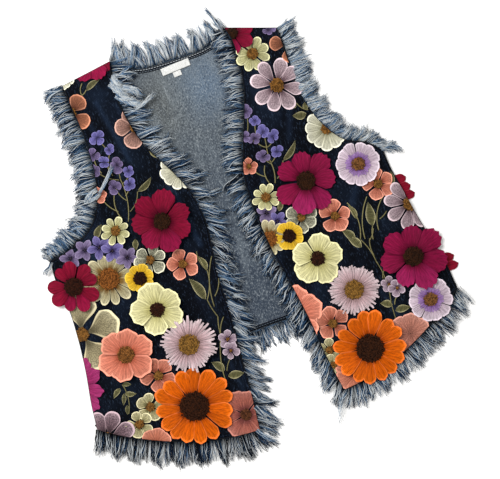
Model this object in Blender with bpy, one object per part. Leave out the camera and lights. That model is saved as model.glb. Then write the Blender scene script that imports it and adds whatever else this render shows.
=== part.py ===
"""Sleeveless denim waistcoat, laid flat on its back with both fronts open.

Every length below is in millimetres, and `lay_out` turns it into Blender's metres. +X runs to
the right as seen from above, +Y towards the neck, and +Z up from the surface that the back
lies on. Left and right are those of a viewer who looks down on it. The origin is on the
centre-back line, on the underside, level with the bottom of the armholes.
"""

import math
from collections import namedtuple

import bmesh
import bpy
import numpy as np
from mathutils import Vector
from mathutils.bvhtree import BVHTree

MILLIMETRE = 0.001
SHARP_ANGLE = math.radians(40)
CLOTH = 1.5
SEAM_GAP = 0.3

# Plan of the panels. Each row is one section across both fronts, from the shoulder seam down
# to the hem: where it starts at the front edge and where it ends at the armhole or side seam.
Section = namedtuple("Section", "name left_front left_side right_front right_side")
SECTIONS = (
    Section("shoulder seam", (-81, 262), (-151, 252), (80, 253), (145, 230)),
    Section("strap top", (-87, 236), (-149, 222), (84, 230), (145, 205)),
    Section("strap middle", (-88, 208), (-147, 192), (83, 203), (145, 175)),
    Section("strap foot", (-85, 180), (-147, 160), (79, 175), (145, 146)),
    Section("chest", (-77, 147), (-150, 125), (71, 148), (149, 120)),
    Section("armhole front", (-62, 115), (-161, 86), (60, 119), (161, 86)),
    Section("armhole low", (-45, 82), (-182, 58), (47, 86), (181, 58)),
    Section("armhole foot", (-34, 48), (-212, 42), (38, 55), (206, 45)),
    Section("armpit", (-31, 12), (-245, 35), (36, 22), (225, 27)),
    Section("neck point", (-35, -20), (-247, 5), (37, -10), (227, 0)),
    Section("waist", (-40, -61), (-243, -36), (41, -52), (233, -36)),
    Section("below waist", (-41, -108), (-245, -80), (50, -105), (241, -82)),
    Section("hip", (-46, -159), (-250, -122), (57, -155), (249, -120)),
    Section("above hem", (-50, -215), (-257, -162), (62, -210), (255, -152)),
    Section("hem", (-56, -271), (-261, -197), (69, -258), (257, -179)),
)
ARMPIT = 8
FRONT_STEPS = 3
BACK_STEPS = 2
COLUMN_SHARES = (0, 0.07, 0.18, 0.30, 0.42, 0.54, 0.66, 0.77, 0.87, 0.95, 1)
FRONT_HEM_BOW = 18

# Back neck and back hem.
NECK_MIDDLE = 236
NECK_TILT = -0.03
NECK_SQUARENESS = 4
NECK_COLUMNS = 12
SHOULDER_COLUMNS = 3
BACK_HEM_MIDDLE = -143.5
BACK_HEM_SQUARENESS = 2.6
NECK_FADE_ROWS = 12

# How the cloth lies: a soft roll along the side and shoulder seams, and the larger folds.
ROLL_HEIGHT = 6
ROLL_WIDTH = 17
Fold = namedtuple("Fold", "start end height width")
FRONT_FOLDS = (
    Fold((-104, 222), (-92, 120), 2.5, 13),
    Fold((-188, 34), (-146, -52), 3.0, 20),
    Fold((-66, 44), (-62, -118), 2.0, 12),
    Fold((-226, -60), (-205, -170), 2.5, 18),
    Fold((108, 206), (96, 112), 2.5, 14),
    Fold((176, 36), (150, -40), 2.5, 20),
    Fold((74, -8), (92, -196), 2.0, 14),
    Fold((222, -30), (206, -66), 2.0, 16),
)
BACK_FOLDS = (
    Fold((-16, 196), (-4, 96), 0.7, 14),
    Fold((22, 120), (6, 10), 0.6, 10),
    Fold((-14, 20), (-2, -70), 0.8, 9),
    Fold((16, -40), (8, -128), 0.7, 10),
)

# Frayed strips. Length is a lock's from its root to its tip.
STRIP_WIDTH = 4
STRIP_THICKNESS = 1.8
LOCK_WIDTH = 14.5
LOWER_LAYER_TOP = 2.6
LOCK_MIDDLE = 0.52
MIDDLE_RING = (0.60, 2.0)
TIP_RING = (0.16, 0.9)
SWAY_STEP = 0.45
Trim = namedtuple("Trim", "name length spread lean rise fan_start fan_end seed")
TRIMS = {
    "back neck": Trim("fringe_back_neck", 34, 6, 8, 0, 36, -36, 3),
    "left edge": Trim("fringe_edge_left", 29, 3, 16, 4, 20, -30, 5),
    "right edge": Trim("fringe_edge_right", 26, 3, 16, 4, -20, 30, 8),
    "left armhole": Trim("fringe_armhole_left", 28, 4, 13, 4, -12, 22, 13),
    "right armhole": Trim("fringe_armhole_right", 26, 4, 13, 4, 12, -22, 21),
    "left back armhole": Trim("fringe_back_armhole_left", 24, 3, 8, 0, -8, 16, 34),
    "right back armhole": Trim("fringe_back_armhole_right", 22, 3, 8, 0, 8, -16, 55),
    "left hem": Trim("fringe_hem_left", 33, 5, 14, 3, 22, -4, 2),
    "right hem": Trim("fringe_hem_right", 31, 5, 14, 3, -22, 4, 4),
    "back hem": Trim("fringe_back_hem", 29, 4, 10, 0, -12, 12, 6),
}

# Cut-out embroidered flowers that are sewn on by their middles.
APPLIQUE_THICKNESS = 1.2
Applique = namedtuple("Applique", "name x y radius petals notch turn colour")
CRIMSON = (0.42, 0.015, 0.06)
ORANGE = (0.85, 0.20, 0.01)
CREAM = (0.80, 0.76, 0.42)
CORAL = (0.80, 0.25, 0.17)
DUSTY_PINK = (0.55, 0.33, 0.34)
LILAC = (0.66, 0.56, 0.68)
APPLIQUES = (
    Applique("flower_crimson_left_chest", -86, 36, 41, 8, 0.20, 10, CRIMSON),
    Applique("flower_crimson_left_side", -226, -7, 35, 10, 0.22, 0, CRIMSON),
    Applique("flower_cream_left", -131, -73, 36, 6, 0.13, 25, CREAM),
    Applique("flower_coral_left", -191, -116, 36, 7, 0.12, 5, CORAL),
    Applique("flower_aster_left", -107, -131, 39, 12, 0.12, 0, DUSTY_PINK),
    Applique("flower_orange_left", -128, -212, 52, 14, 0.12, 0, ORANGE),
    Applique("flower_crimson_right_chest", 114, 23, 42, 8, 0.20, -15, CRIMSON),
    Applique("flower_lilac_right_chest", 187, 21, 29, 11, 0.08, 0, LILAC),
    Applique("flower_lilac_right_hem", 218, -182, 29, 11, 0.08, 10, LILAC),
    Applique("flower_crimson_right_side", 215, -120, 44, 8, 0.20, 20, CRIMSON),
    Applique("flower_cream_right", 94, -80, 35, 6, 0.13, 0, CREAM),
    Applique("flower_aster_right", 126, -136, 37, 12, 0.12, 9, DUSTY_PINK),
    Applique("flower_orange_right", 120, -217, 49, 14, 0.12, 12, ORANGE),
)
POINTS_PER_PETAL = 3
PETAL_MIDDLE_SHARE = 0.5
CLEARANCE_STEPS = 14

# Petals of a flower on the outside of the back, which pass the right side seam.
PetalTab = namedtuple("PetalTab", "name y reach petals")
PETAL_TABS = (
    PetalTab("petals_back_upper", -28, 13, 3),
    PetalTab("petals_back_lower", -143, 13, 2),
)
PETAL_TAB_PITCH = 12
PETAL_TAB_THICKNESS = 1.2
ARC_POINTS = 5

# Woven label at the back neck, with a small tab under it. Both are blank.
LABEL = (40, 10, 0.6)
LABEL_CENTRE = (0, 226)
LABEL_TURN = math.radians(2.8)
TAB = (11, 7, 0.5)
TAB_CENTRE = (-1, 217)

INDIGO = (0.012, 0.016, 0.030)
WASHED_INDIGO = (0.17, 0.21, 0.25)
FRAYED_BLUE = (0.20, 0.30, 0.40)
LABEL_WHITE = (0.80, 0.79, 0.76)


def smooth(points, steps):
    """A Catmull-Rom curve through the points, with that many steps from each to the next."""
    points = np.array(points, float)
    ends = np.vstack([2 * points[0] - points[1], points, 2 * points[-1] - points[-2]])
    share = (np.arange(steps) / steps)[:, None]
    spans = []
    for before, start, end, after in zip(ends, ends[1:], ends[2:], ends[3:]):
        spans.append(
            start
            + 0.5 * share * (end - before)
            + share**2 * (before - 2.5 * start + 2 * end - 0.5 * after)
            + share**3 * (1.5 * (start - end) + 0.5 * (after - before))
        )
    return np.vstack([*spans, points[-1:]])


def front_edge(side, steps):
    """The neckline and centre-front edge of one front, from the shoulder to the hem."""
    return smooth([getattr(row, side + "_front") for row in SECTIONS], steps)


def side_edge(side, steps):
    """The armhole and the side seam of one front, with a corner where they meet."""
    points = [getattr(row, side + "_side") for row in SECTIONS]
    armhole = smooth(points[: ARMPIT + 1], steps)
    seam = smooth(points[ARMPIT:], steps)
    return np.vstack([armhole, seam[1:]])


def ease(value, start, end):
    """0 before start, 1 after end, and a smooth step between them."""
    share = np.clip((value - start) / (end - start), 0, 1)
    return share * share * (3 - 2 * share)


def distance_to(points, start, end):
    """How far each point is from the straight line between start and end."""
    start, along = np.array(start, float), np.subtract(end, start, dtype=float)
    share = np.clip((points - start) @ along / (along @ along), 0, 1)
    return np.linalg.norm(points - start - share[..., None] * along, axis=-1)


def folds_at(points, folds):
    """The height that soft ridges add at each point."""
    return sum(
        fold.height * np.exp(-((distance_to(points, fold.start, fold.end) / fold.width) ** 2))
        for fold in folds
    )


def back_hem_y(x):
    """The back hem: straight across the middle, and down to each side seam."""
    left, right = SECTIONS[-1].left_side, SECTIONS[-1].right_side
    corner_x = np.where(x < 0, left[0], right[0])
    drop = BACK_HEM_MIDDLE - np.where(x < 0, left[1], right[1])
    return BACK_HEM_MIDDLE - drop * np.clip(x / corner_x, 0, 1) ** BACK_HEM_SQUARENESS


def neck_y(x):
    """The back neckline: nearly flat, and up to the shoulder seam at each end."""
    left, right = SECTIONS[0].left_front, SECTIONS[0].right_front
    end_x = np.where(x < 0, left[0], right[0])
    end_y = np.where(x < 0, left[1], right[1])
    middle = NECK_MIDDLE + NECK_TILT * x
    return middle + (end_y - NECK_MIDDLE - NECK_TILT * end_x) * (x / end_x) ** NECK_SQUARENESS


def back_top(points):
    """Height of the back's inside, which faces up."""
    return CLOTH + folds_at(points, BACK_FOLDS)


def rest_level(points):
    """What a front lies on: the back, then the back's frayed hem, then the bare surface."""
    below = back_hem_y(points[..., 0]) - points[..., 1]
    hem_length = STRIP_WIDTH + TRIMS["back hem"].length + TRIMS["back hem"].spread
    step_up = (LOWER_LAYER_TOP - CLOTH) * ease(below, -14, -2)
    step_down = LOWER_LAYER_TOP * ease(below, hem_length + 6, hem_length + 36)
    return back_top(points) + step_up - step_down


def seam_roll(points, side):
    """The soft roll of a front beside its side and shoulder seams."""
    seam = side_edge(side, 1)[ARMPIT:]
    shoulder = [getattr(SECTIONS[0], side + "_front"), getattr(SECTIONS[0], side + "_side")]
    runs = [*zip(seam, seam[1:]), shoulder]
    away = np.min([distance_to(points, start, end) for start, end in runs], axis=0)
    return ROLL_HEIGHT * away / ROLL_WIDTH * np.exp(1 - away / ROLL_WIDTH)


def front_plan(side):
    """The plan of one front as rows of points, each row from the front edge to the side."""
    inner, outer = front_edge(side, FRONT_STEPS), side_edge(side, FRONT_STEPS)
    across = np.array(COLUMN_SHARES)[None, :, None]
    plan = inner[:, None] * (1 - across) + outer[:, None] * across
    down = np.linspace(0, 1, len(inner))[:, None]
    plan[..., 1] -= FRONT_HEM_BOW * down**3 * 4 * across[..., 0] * (1 - across[..., 0])
    return plan


def front_top(points, side):
    """Height of a front's outside."""
    lies_on = rest_level(points) + SEAM_GAP
    return lies_on + CLOTH + seam_roll(points, side) + folds_at(points, FRONT_FOLDS)


def back_plan():
    """The plan of the back as rows of points, each row from the left side to the right."""
    left, right = side_edge("left", BACK_STEPS), side_edge("right", BACK_STEPS)
    first = SECTIONS[0]
    neck_x = np.linspace(first.left_front[0], first.right_front[0], NECK_COLUMNS + 1)
    left_x = np.linspace(first.left_side[0], first.left_front[0], SHOULDER_COLUMNS + 1)
    right_x = np.linspace(first.right_front[0], first.right_side[0], SHOULDER_COLUMNS + 1)
    top_x = np.concatenate([left_x[:-1], neck_x, right_x[1:]])
    left_y = np.linspace(first.left_side[1], first.left_front[1], SHOULDER_COLUMNS + 1)
    right_y = np.linspace(first.right_front[1], first.right_side[1], SHOULDER_COLUMNS + 1)
    top_y = np.concatenate([left_y[:-1], neck_y(neck_x), right_y[1:]])
    across = ((top_x - top_x[0]) / (top_x[-1] - top_x[0]))[None, :, None]
    plan = left[:, None] * (1 - across) + right[:, None] * across
    row = np.arange(len(left))[:, None]
    near_top = 1 - ease(row, 0, NECK_FADE_ROWS)
    near_hem = (row / row[-1]) ** 3
    hem_y = back_hem_y(plan[-1, :, 0])
    plan[..., 1] += near_top * (top_y - plan[0, :, 1]) + near_hem * (hem_y - plan[-1, :, 1])
    return plan


def cloth_material(name, colour, roughness):
    material = bpy.data.materials.new(name)
    material.use_nodes = True
    surface = material.node_tree.nodes["Principled BSDF"]
    surface.inputs["Base Color"].default_value = (*colour, 1)
    surface.inputs["Roughness"].default_value = roughness
    surface.inputs["Metallic"].default_value = 0
    material.diffuse_color = (*colour, 1)
    return material


def lay_out(name, bm, material):
    """Makes the object, in metres, of a mesh that is in millimetres."""
    bmesh.ops.scale(bm, vec=(MILLIMETRE,) * 3, verts=bm.verts)
    mesh = bpy.data.meshes.new(name)
    bm.to_mesh(mesh)
    bm.free()
    mesh.materials.append(material)
    mesh.shade_smooth()
    mesh.set_sharp_from_angle(angle=SHARP_ANGLE)
    shown = bpy.data.objects.new(name, mesh)
    bpy.context.scene.collection.objects.link(shown)
    return shown


def doubled(bm):
    """Adds a second face to a sheet, joined to it round the rim, and gives its points."""
    made = bmesh.ops.extrude_face_region(bm, geom=list(bm.faces))["geom"]
    return [item for item in made if isinstance(item, bmesh.types.BMVert)]


def finish(name, bm, material):
    bmesh.ops.recalc_face_normals(bm, faces=bm.faces)
    return lay_out(name, bm, material)


def sheet_of(plan, heights):
    """A sheet of quads on a grid of points."""
    bm = bmesh.new()
    rows = [
        [bm.verts.new((x, y, z)) for (x, y), z in zip(line, level)]
        for line, level in zip(plan, heights)
    ]
    for upper, lower in zip(rows, rows[1:]):
        for a, b, c, d in zip(upper, upper[1:], lower[1:], lower):
            bm.faces.new((a, b, c, d))
    return bm


def make_front(side, material):
    plan = front_plan(side)
    bm = sheet_of(plan, front_top(plan, side))
    bmesh.ops.translate(bm, vec=(0, 0, -CLOTH), verts=doubled(bm))
    return finish("front_" + side, bm, material)


def make_back(material):
    """The back has low folds above and one flat face below, where it rests."""
    plan = back_plan()
    bm = sheet_of(plan, back_top(plan))
    for vert in doubled(bm):
        vert.co.z = 0
    return finish("back_panel", bm, material)


def outward_of(edge, turn):
    """The unit normal of a plan edge at each point, to its left where turn is 1."""
    along = np.gradient(edge, axis=0)
    along /= np.linalg.norm(along, axis=1)[:, None]
    return turn * np.stack([-along[:, 1], along[:, 0]], axis=1)


def turned(direction, angle):
    """Plan directions turned anticlockwise by an angle each."""
    x, y = direction[:, 0], direction[:, 1]
    cos, sin = np.cos(angle), np.sin(angle)
    return np.stack([x * cos - y * sin, x * sin + y * cos], axis=1)


def lock_rings(trim, start, end, under, turn):
    """Corners of each lock's middle ring and tip ring, four to a ring."""
    random = np.random.default_rng(trim.seed)
    count = len(start)
    place = np.linspace(0, 1, count)
    sway = np.sin(SWAY_STEP * np.arange(count) + trim.seed) + random.uniform(-0.15, 0.15, count)
    fan = trim.fan_start * (1 - ease(place, 0, 0.2)) + trim.fan_end * ease(place, 0.8, 1)
    lean = np.radians(0.7 * trim.lean * sway + fan)
    length = trim.length + trim.spread * random.uniform(-1, 1, count)
    inner = ease(place, 0, 0.2) * (1 - ease(place, 0.8, 1))
    rise = trim.rise * random.uniform(0.15, 1, count) * inner
    width = np.linalg.norm(end - start, axis=1)
    along = (end - start) / width[:, None]
    centre = (start + end) / 2
    shapes = (
        (LOCK_MIDDLE, 0.7, 1.0, MIDDLE_RING),
        (1 - LOCK_MIDDLE, 1.4, 0.35, TIP_RING),
    )
    rings = []
    for share, bend, lift, (breadth, thickness) in shapes:
        across = turned(along, bend * lean)
        centre = centre + turn * turned(across, np.pi / 2) * (share * length)[:, None]
        half = 0.5 * breadth * width[:, None] * across
        low = under(centre) + lift * rise
        rings.append(ring_corners(centre - half, centre + half, low, low + thickness))
    return rings


def ring_corners(first, second, low, high):
    """Rings of four points: both places at the low level, then both at the high one."""
    flat = np.stack([first, second, second, first], axis=1)
    level = np.stack([low, low, high, high], axis=1)
    return np.concatenate([flat, level[..., None]], axis=2)


def solid_from(points, faces):
    bm = bmesh.new()
    verts = [bm.verts.new(point) for point in points]
    for face in faces:
        bm.faces.new([verts[i] for i in face])
    return bm


def lock_divisions(edge):
    """Where the locks part along an edge, counted in the edge's own points."""
    parts = np.maximum(1, np.rint(np.linalg.norm(np.diff(edge, axis=0), axis=1) / LOCK_WIDTH))
    shares = [i + np.arange(n) / n for i, n in enumerate(parts)]
    return np.concatenate([*shares, [len(parts)]])


def points_along(line, at):
    index = np.arange(len(line))
    return np.stack([np.interp(at, index, line[:, axis]) for axis in (0, 1)], axis=1)


def make_fringe(key, edge, turn, under, material):
    """A frayed strip beside a panel's edge. Its outer side is drawn out into locks."""
    trim = TRIMS[key]
    outward = outward_of(edge, turn)
    at = lock_divisions(edge)
    inner = points_along(edge + SEAM_GAP * outward, at)
    outer = points_along(edge + (SEAM_GAP + STRIP_WIDTH) * outward, at)
    low = np.stack([under(inner), under(outer)], axis=1)
    plan = np.stack([inner, outer, outer, inner], axis=1)
    level = np.concatenate([low, low[:, ::-1] + STRIP_THICKNESS], axis=1)
    strip = np.concatenate([plan, level[..., None]], axis=2)
    count = len(at) - 1
    middle, tip = lock_rings(trim, outer[:-1], outer[1:], under, turn)
    points = np.concatenate([strip.reshape(-1, 3), middle.reshape(-1, 3), tip.reshape(-1, 3)])
    faces = [(0, 1, 2, 3), tuple(4 * count + k for k in range(4))]
    for i in range(count):
        a, b = 4 * i, 4 * i + 4
        faces += [(a, b, b + 1, a + 1), (a + 3, b + 3, b, a), (a + 2, b + 2, b + 3, a + 3)]
        root = (a + 1, b + 1, b + 2, a + 2)
        ring = [4 * (count + 1 + i) + k for k in range(4)]
        end = [4 * (2 * count + 1 + i) + k for k in range(4)]
        for near, far in ((root, ring), (ring, end)):
            for k in range(4):
                faces.append((near[k], near[(k + 1) % 4], far[(k + 1) % 4], far[k]))
        faces.append(end)
    return finish(trim.name, solid_from(points, faces), material)


def over_back(points):
    """Where an upper strip or lock may lie: clear of the lower layer, or just above the surface."""
    return np.maximum(rest_level(points), LOWER_LAYER_TOP * over_panel(points)) + SEAM_GAP


def over_panel(points):
    """1 over the back and its own frayed edges, and 0 well below the back hem."""
    below = back_hem_y(points[..., 0]) - points[..., 1]
    hem_length = STRIP_WIDTH + TRIMS["back hem"].length + TRIMS["back hem"].spread
    return 1 - ease(below, hem_length + 6, hem_length + 36)


def on_surface(points):
    return np.full(len(points), SEAM_GAP)


def make_fringes(material):
    made = []
    for side, turn in (("left", 1), ("right", -1)):
        plan = front_plan(side)
        armhole = slice(0, ARMPIT * FRONT_STEPS + 1)
        back_armhole = side_edge(side, BACK_STEPS)[: ARMPIT * BACK_STEPS + 1]
        made += [
            make_fringe(side + " edge", plan[:, 0], turn, over_back, material),
            make_fringe(side + " armhole", plan[armhole, -1], -turn, over_back, material),
            make_fringe(side + " back armhole", back_armhole, -turn, on_surface, material),
            make_fringe(side + " hem", plan[-1], turn, over_back, material),
        ]
    back = back_plan()
    neck = back[0, SHOULDER_COLUMNS : SHOULDER_COLUMNS + NECK_COLUMNS + 1]
    made.append(make_fringe("back neck", neck, 1, on_surface, material))
    made.append(make_fringe("back hem", back[-1], -1, on_surface, material))
    return made


def tree_of(shown):
    """A search tree of an object's faces, in millimetres."""
    bpy.context.view_layer.update()
    evaluated = shown.evaluated_get(bpy.context.evaluated_depsgraph_get())
    mesh = evaluated.to_mesh()
    points = [vert.co / MILLIMETRE for vert in mesh.vertices]
    tree = BVHTree.FromPolygons(points, [tuple(face.vertices) for face in mesh.polygons])
    evaluated.to_mesh_clear()
    return tree


def height_under(trees, x, y):
    """The highest point of those solids under a place, or None."""
    above = Vector((x, y, 100))
    hits = [tree.ray_cast(above, Vector((0, 0, -1)))[0] for tree in trees]
    return max((hit.z for hit in hits if hit), default=None)


def petal_outline(flower, share):
    """A ring of the flower. Its radius is full at each petal's tip and less at the notches."""
    count = flower.petals * POINTS_PER_PETAL
    angle = np.arange(count) * 2 * np.pi / count
    tip = np.abs(np.cos(angle * flower.petals / 2)) ** 0.7
    radius = flower.radius * share * (1 - flower.notch * (1 - tip) * share)
    turned = angle + math.radians(flower.turn)
    return np.stack([flower.x + radius * np.cos(turned), flower.y + radius * np.sin(turned)], 1)


def make_applique(flower, trees, materials):
    """A thin cut-out flower that follows what lies under it, just clear of it."""
    rings = [petal_outline(flower, PETAL_MIDDLE_SHARE), petal_outline(flower, 1)]
    plan = np.vstack([[(flower.x, flower.y)], *rings])
    found = [height_under(trees, x, y) for x, y in plan]
    lowest = min(height for height in found if height is not None)
    heights = np.array([lowest if height is None else height for height in found])
    bm = bmesh.new()
    verts = [bm.verts.new((x, y, z + SEAM_GAP)) for (x, y), z in zip(plan, heights)]
    count = len(rings[0])
    middle, rim = verts[1 : count + 1], verts[count + 1 :]
    for i in range(count):
        after = (i + 1) % count
        bm.faces.new((verts[0], middle[i], middle[after]))
        bm.faces.new((middle[i], rim[i], rim[after]))
        bm.faces.new((middle[i], rim[after], middle[after]))
    lift = max(clearance_needed(bm, trees), 0) + SEAM_GAP / 2
    bmesh.ops.translate(bm, vec=(0, 0, lift), verts=bm.verts)
    bmesh.ops.translate(bm, vec=(0, 0, APPLIQUE_THICKNESS), verts=doubled(bm))
    return finish(flower.name, bm, materials[flower.colour])


def clearance_needed(bm, trees):
    """How far a sheet has to rise so that none of its faces dips into what is under it."""
    steps = range(CLEARANCE_STEPS + 1)
    shares = [(a / steps[-1], b / steps[-1]) for a in steps for b in steps if a + b <= steps[-1]]
    worst = -math.inf
    for face in bm.faces:
        a, b, c = (vert.co for vert in face.verts)
        for u, v in shares:
            point = a + u * (b - a) + v * (c - a)
            under = height_under(trees, point.x, point.y)
            if under is not None:
                worst = max(worst, under + SEAM_GAP - point.z)
    return worst


def make_petal_tab(tab, material):
    """Rounded petals in a row beside the right side seam, flat on the surface."""
    seam = side_edge("right", BACK_STEPS)[ARMPIT * BACK_STEPS :]
    seam_x, seam_y = seam[::-1, 0], seam[::-1, 1]
    radius = PETAL_TAB_PITCH / 2
    middles = tab.y + (np.arange(tab.petals) - (tab.petals - 1) / 2) * PETAL_TAB_PITCH
    swing = np.linspace(-math.pi / 2, math.pi / 2, ARC_POINTS + 2)[1:-1]
    outline = []
    for middle in middles:
        y = middle + radius * np.sin(swing)
        out = tab.reach - radius + radius * np.cos(swing)
        outline += list(zip(np.interp(y, seam_y, seam_x) + SEAM_GAP + out, y))
    ends = np.array([middles[-1] + radius, middles[0] - radius])
    base = np.interp(ends, seam_y, seam_x) + 2 * SEAM_GAP
    outline += list(zip(base, ends))
    bm = bmesh.new()
    bm.faces.new([bm.verts.new((x, y, SEAM_GAP)) for x, y in outline])
    bmesh.ops.translate(bm, vec=(0, 0, PETAL_TAB_THICKNESS), verts=doubled(bm))
    return finish(tab.name, bm, material)


def make_tag(name, size, centre, material):
    """A flat woven tag on the inside of the back, turned a little as it was sewn."""
    width, depth, thickness = size
    bm = bmesh.new()
    bmesh.ops.create_cube(bm, size=1)
    bmesh.ops.scale(bm, vec=(width, depth, thickness), verts=bm.verts)
    around = np.array([centre]) + np.array([(-0.5, 0), (0, 0), (0.5, 0)]) * width
    level = back_top(around).max() + SEAM_GAP + thickness / 2
    bmesh.ops.translate(bm, vec=(*centre, level), verts=bm.verts)
    bmesh.ops.rotate(
        bm,
        cent=(*LABEL_CENTRE, level),
        matrix=Vector((1, 0)).to_3d().rotation_difference(
            Vector((math.cos(LABEL_TURN), math.sin(LABEL_TURN), 0))
        ).to_matrix(),
        verts=bm.verts,
    )
    return lay_out(name, bm, material)


def main():
    for old in list(bpy.data.objects):
        bpy.data.objects.remove(old)
    denim = cloth_material("dark denim", INDIGO, 0.85)
    frayed = cloth_material("frayed denim", FRAYED_BLUE, 0.95)
    tag = cloth_material("woven label", LABEL_WHITE, 0.8)
    colours = dict.fromkeys(flower.colour for flower in APPLIQUES)
    threads = {
        colour: cloth_material(f"embroidery thread {i + 1}", colour, 0.7)
        for i, colour in enumerate(colours)
    }
    fronts = [make_front(side, denim) for side in ("left", "right")]
    make_back(cloth_material("washed denim", WASHED_INDIGO, 0.9))
    fringes = make_fringes(frayed)
    trees = [tree_of(solid) for solid in fronts + fringes]
    for flower in APPLIQUES:
        trees.append(tree_of(make_applique(flower, trees, threads)))
    for tab in PETAL_TABS:
        make_petal_tab(tab, threads[CRIMSON])
    make_tag("neck_label", LABEL, LABEL_CENTRE, tag)
    make_tag("size_tab", TAB, TAB_CENTRE, tag)


main()
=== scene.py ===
"""An embroidered denim waistcoat, laid flat on its back with both fronts open.

Lengths are in millimetres until `add_piece` puts them into a mesh, in metres. +X is to the right
for a viewer who looks down on the waistcoat, +Y is towards its neck, and +Z is up.
"""

import math
from collections import namedtuple
from functools import cache, partial

import bpy
import numpy as np
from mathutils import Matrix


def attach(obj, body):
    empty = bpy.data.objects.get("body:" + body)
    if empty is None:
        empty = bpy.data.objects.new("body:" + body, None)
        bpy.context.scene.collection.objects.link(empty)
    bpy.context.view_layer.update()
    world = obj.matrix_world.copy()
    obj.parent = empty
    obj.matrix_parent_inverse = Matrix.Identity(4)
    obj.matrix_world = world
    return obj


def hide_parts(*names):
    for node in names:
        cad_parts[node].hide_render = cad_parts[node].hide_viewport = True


bl_info = {
    "name": "Embroidered Denim Waistcoat",
    "version": (1, 0, 0),
    "blender": (4, 5, 0),
    "location": "View3D > Sidebar > Waistcoat",
    "description": "Dresses the waistcoat's frame in denim, embroidery and frayed trims",
    "category": "Add Mesh",
}

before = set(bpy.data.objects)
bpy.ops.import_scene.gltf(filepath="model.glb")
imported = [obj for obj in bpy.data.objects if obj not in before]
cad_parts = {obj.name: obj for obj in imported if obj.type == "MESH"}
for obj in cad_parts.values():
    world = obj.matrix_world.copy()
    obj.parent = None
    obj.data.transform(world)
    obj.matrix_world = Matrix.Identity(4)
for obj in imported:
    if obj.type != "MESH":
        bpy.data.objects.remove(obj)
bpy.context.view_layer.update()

MILLIMETRE = 0.001
BODY = "root"
SIDES = ("left", "right")

# The cut. Each row is one section across both fronts, from the shoulder seam to the hem.
Section = namedtuple("Section", "name left_front left_side right_front right_side")
SECTIONS = (
    Section("shoulder seam", (-81, 262), (-151, 252), (80, 253), (145, 230)),
    Section("strap top", (-87, 236), (-149, 222), (84, 230), (145, 205)),
    Section("strap middle", (-88, 208), (-147, 192), (83, 203), (145, 175)),
    Section("strap foot", (-85, 180), (-147, 160), (79, 175), (145, 146)),
    Section("chest", (-77, 147), (-150, 125), (71, 148), (149, 120)),
    Section("armhole front", (-62, 115), (-161, 86), (60, 119), (161, 86)),
    Section("armhole low", (-45, 82), (-182, 58), (47, 86), (181, 58)),
    Section("armhole foot", (-34, 48), (-212, 42), (38, 55), (206, 45)),
    Section("armpit", (-31, 12), (-245, 35), (36, 22), (225, 27)),
    Section("neck point", (-35, -20), (-247, 5), (37, -10), (227, 0)),
    Section("waist", (-40, -61), (-243, -36), (41, -52), (233, -36)),
    Section("below waist", (-41, -108), (-245, -80), (50, -105), (241, -82)),
    Section("hip", (-46, -159), (-250, -122), (57, -155), (249, -120)),
    Section("above hem", (-50, -215), (-257, -162), (62, -210), (255, -152)),
    Section("hem", (-56, -271), (-261, -197), (69, -258), (257, -179)),
)
ARMPIT = 8
FRONT_STEPS = 12
FRONT_COLUMNS = 84
BACK_STEPS = 7
BACK_NECK_COLUMNS = 56
BACK_SHOULDER_COLUMNS = 14
FRONT_HEM_BOW = 18
CLOTH = 1.5
SEAM_GAP = 0.3
NECK_MIDDLE = 236
NECK_TILT = -0.03
NECK_SQUARENESS = 4
NECK_FADE_SECTIONS = 6
BACK_HEM_MIDDLE = -143.5
BACK_HEM_SQUARENESS = 2.6

# How the cloth lies: a roll along the seams, the folds, and fine creases over all of it.
ROLL_HEIGHT = 6
ROLL_WIDTH = 17
Fold = namedtuple("Fold", "start end height width")
FRONT_FOLDS = (
    Fold((-104, 222), (-92, 120), 2.5, 13),
    Fold((-188, 34), (-146, -52), 3.0, 20),
    Fold((-66, 44), (-62, -118), 2.0, 12),
    Fold((-226, -60), (-205, -170), 2.5, 18),
    Fold((108, 206), (96, 112), 2.5, 14),
    Fold((176, 36), (150, -40), 2.5, 20),
    Fold((74, -8), (92, -196), 2.0, 14),
    Fold((222, -30), (206, -66), 2.0, 16),
)
FRONT_CREASES = (
    Fold((-116, 214), (-100, 128), 1.1, 3.5),
    Fold((-92, 204), (-82, 150), 0.8, 3.0),
    Fold((-134, 190), (-118, 112), 0.8, 4.0),
    Fold((-60, 74), (-48, -10), 1.3, 4.0),
    Fold((-66, 96), (-58, 30), 0.8, 3.0),
    Fold((-198, 30), (-150, -10), 0.9, 4.5),
    Fold((-64, -160), (-58, -232), 0.8, 3.5),
    Fold((118, 190), (104, 128), 0.9, 3.5),
    Fold((134, 142), (112, 84), 0.8, 4.0),
    Fold((196, 26), (160, -30), 0.9, 4.5),
    Fold((62, 60), (56, -8), 0.8, 3.5),
    Fold((160, -150), (176, -206), 0.8, 4.0),
)
BACK_FOLDS = (
    Fold((-16, 196), (-4, 96), 0.7, 14),
    Fold((22, 120), (6, 10), 0.6, 10),
    Fold((-14, 20), (-2, -70), 0.8, 9),
    Fold((16, -40), (8, -128), 0.7, 10),
)
BACK_CREASES = (
    Fold((-38, 206), (-22, 148), 0.5, 3.0),
    Fold((30, 196), (24, 116), 0.5, 3.5),
    Fold((4, 90), (12, 12), 0.5, 3.0),
    Fold((-10, -60), (0, -120), 0.5, 3.0),
    Fold((22, -70), (18, -132), 0.4, 2.5),
)
Ripple = namedtuple("Ripple", "length angle height shift")
RIPPLES = (
    Ripple(46, 12, 0.22, 0.3),
    Ripple(31, 77, 0.16, 1.9),
    Ripple(19, 140, 0.10, 4.1),
    Ripple(12, 41, 0.06, 2.6),
)
RIPPLE_LIFT = 0.5
BACK_RIPPLE_SHARE = 0.4

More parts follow.
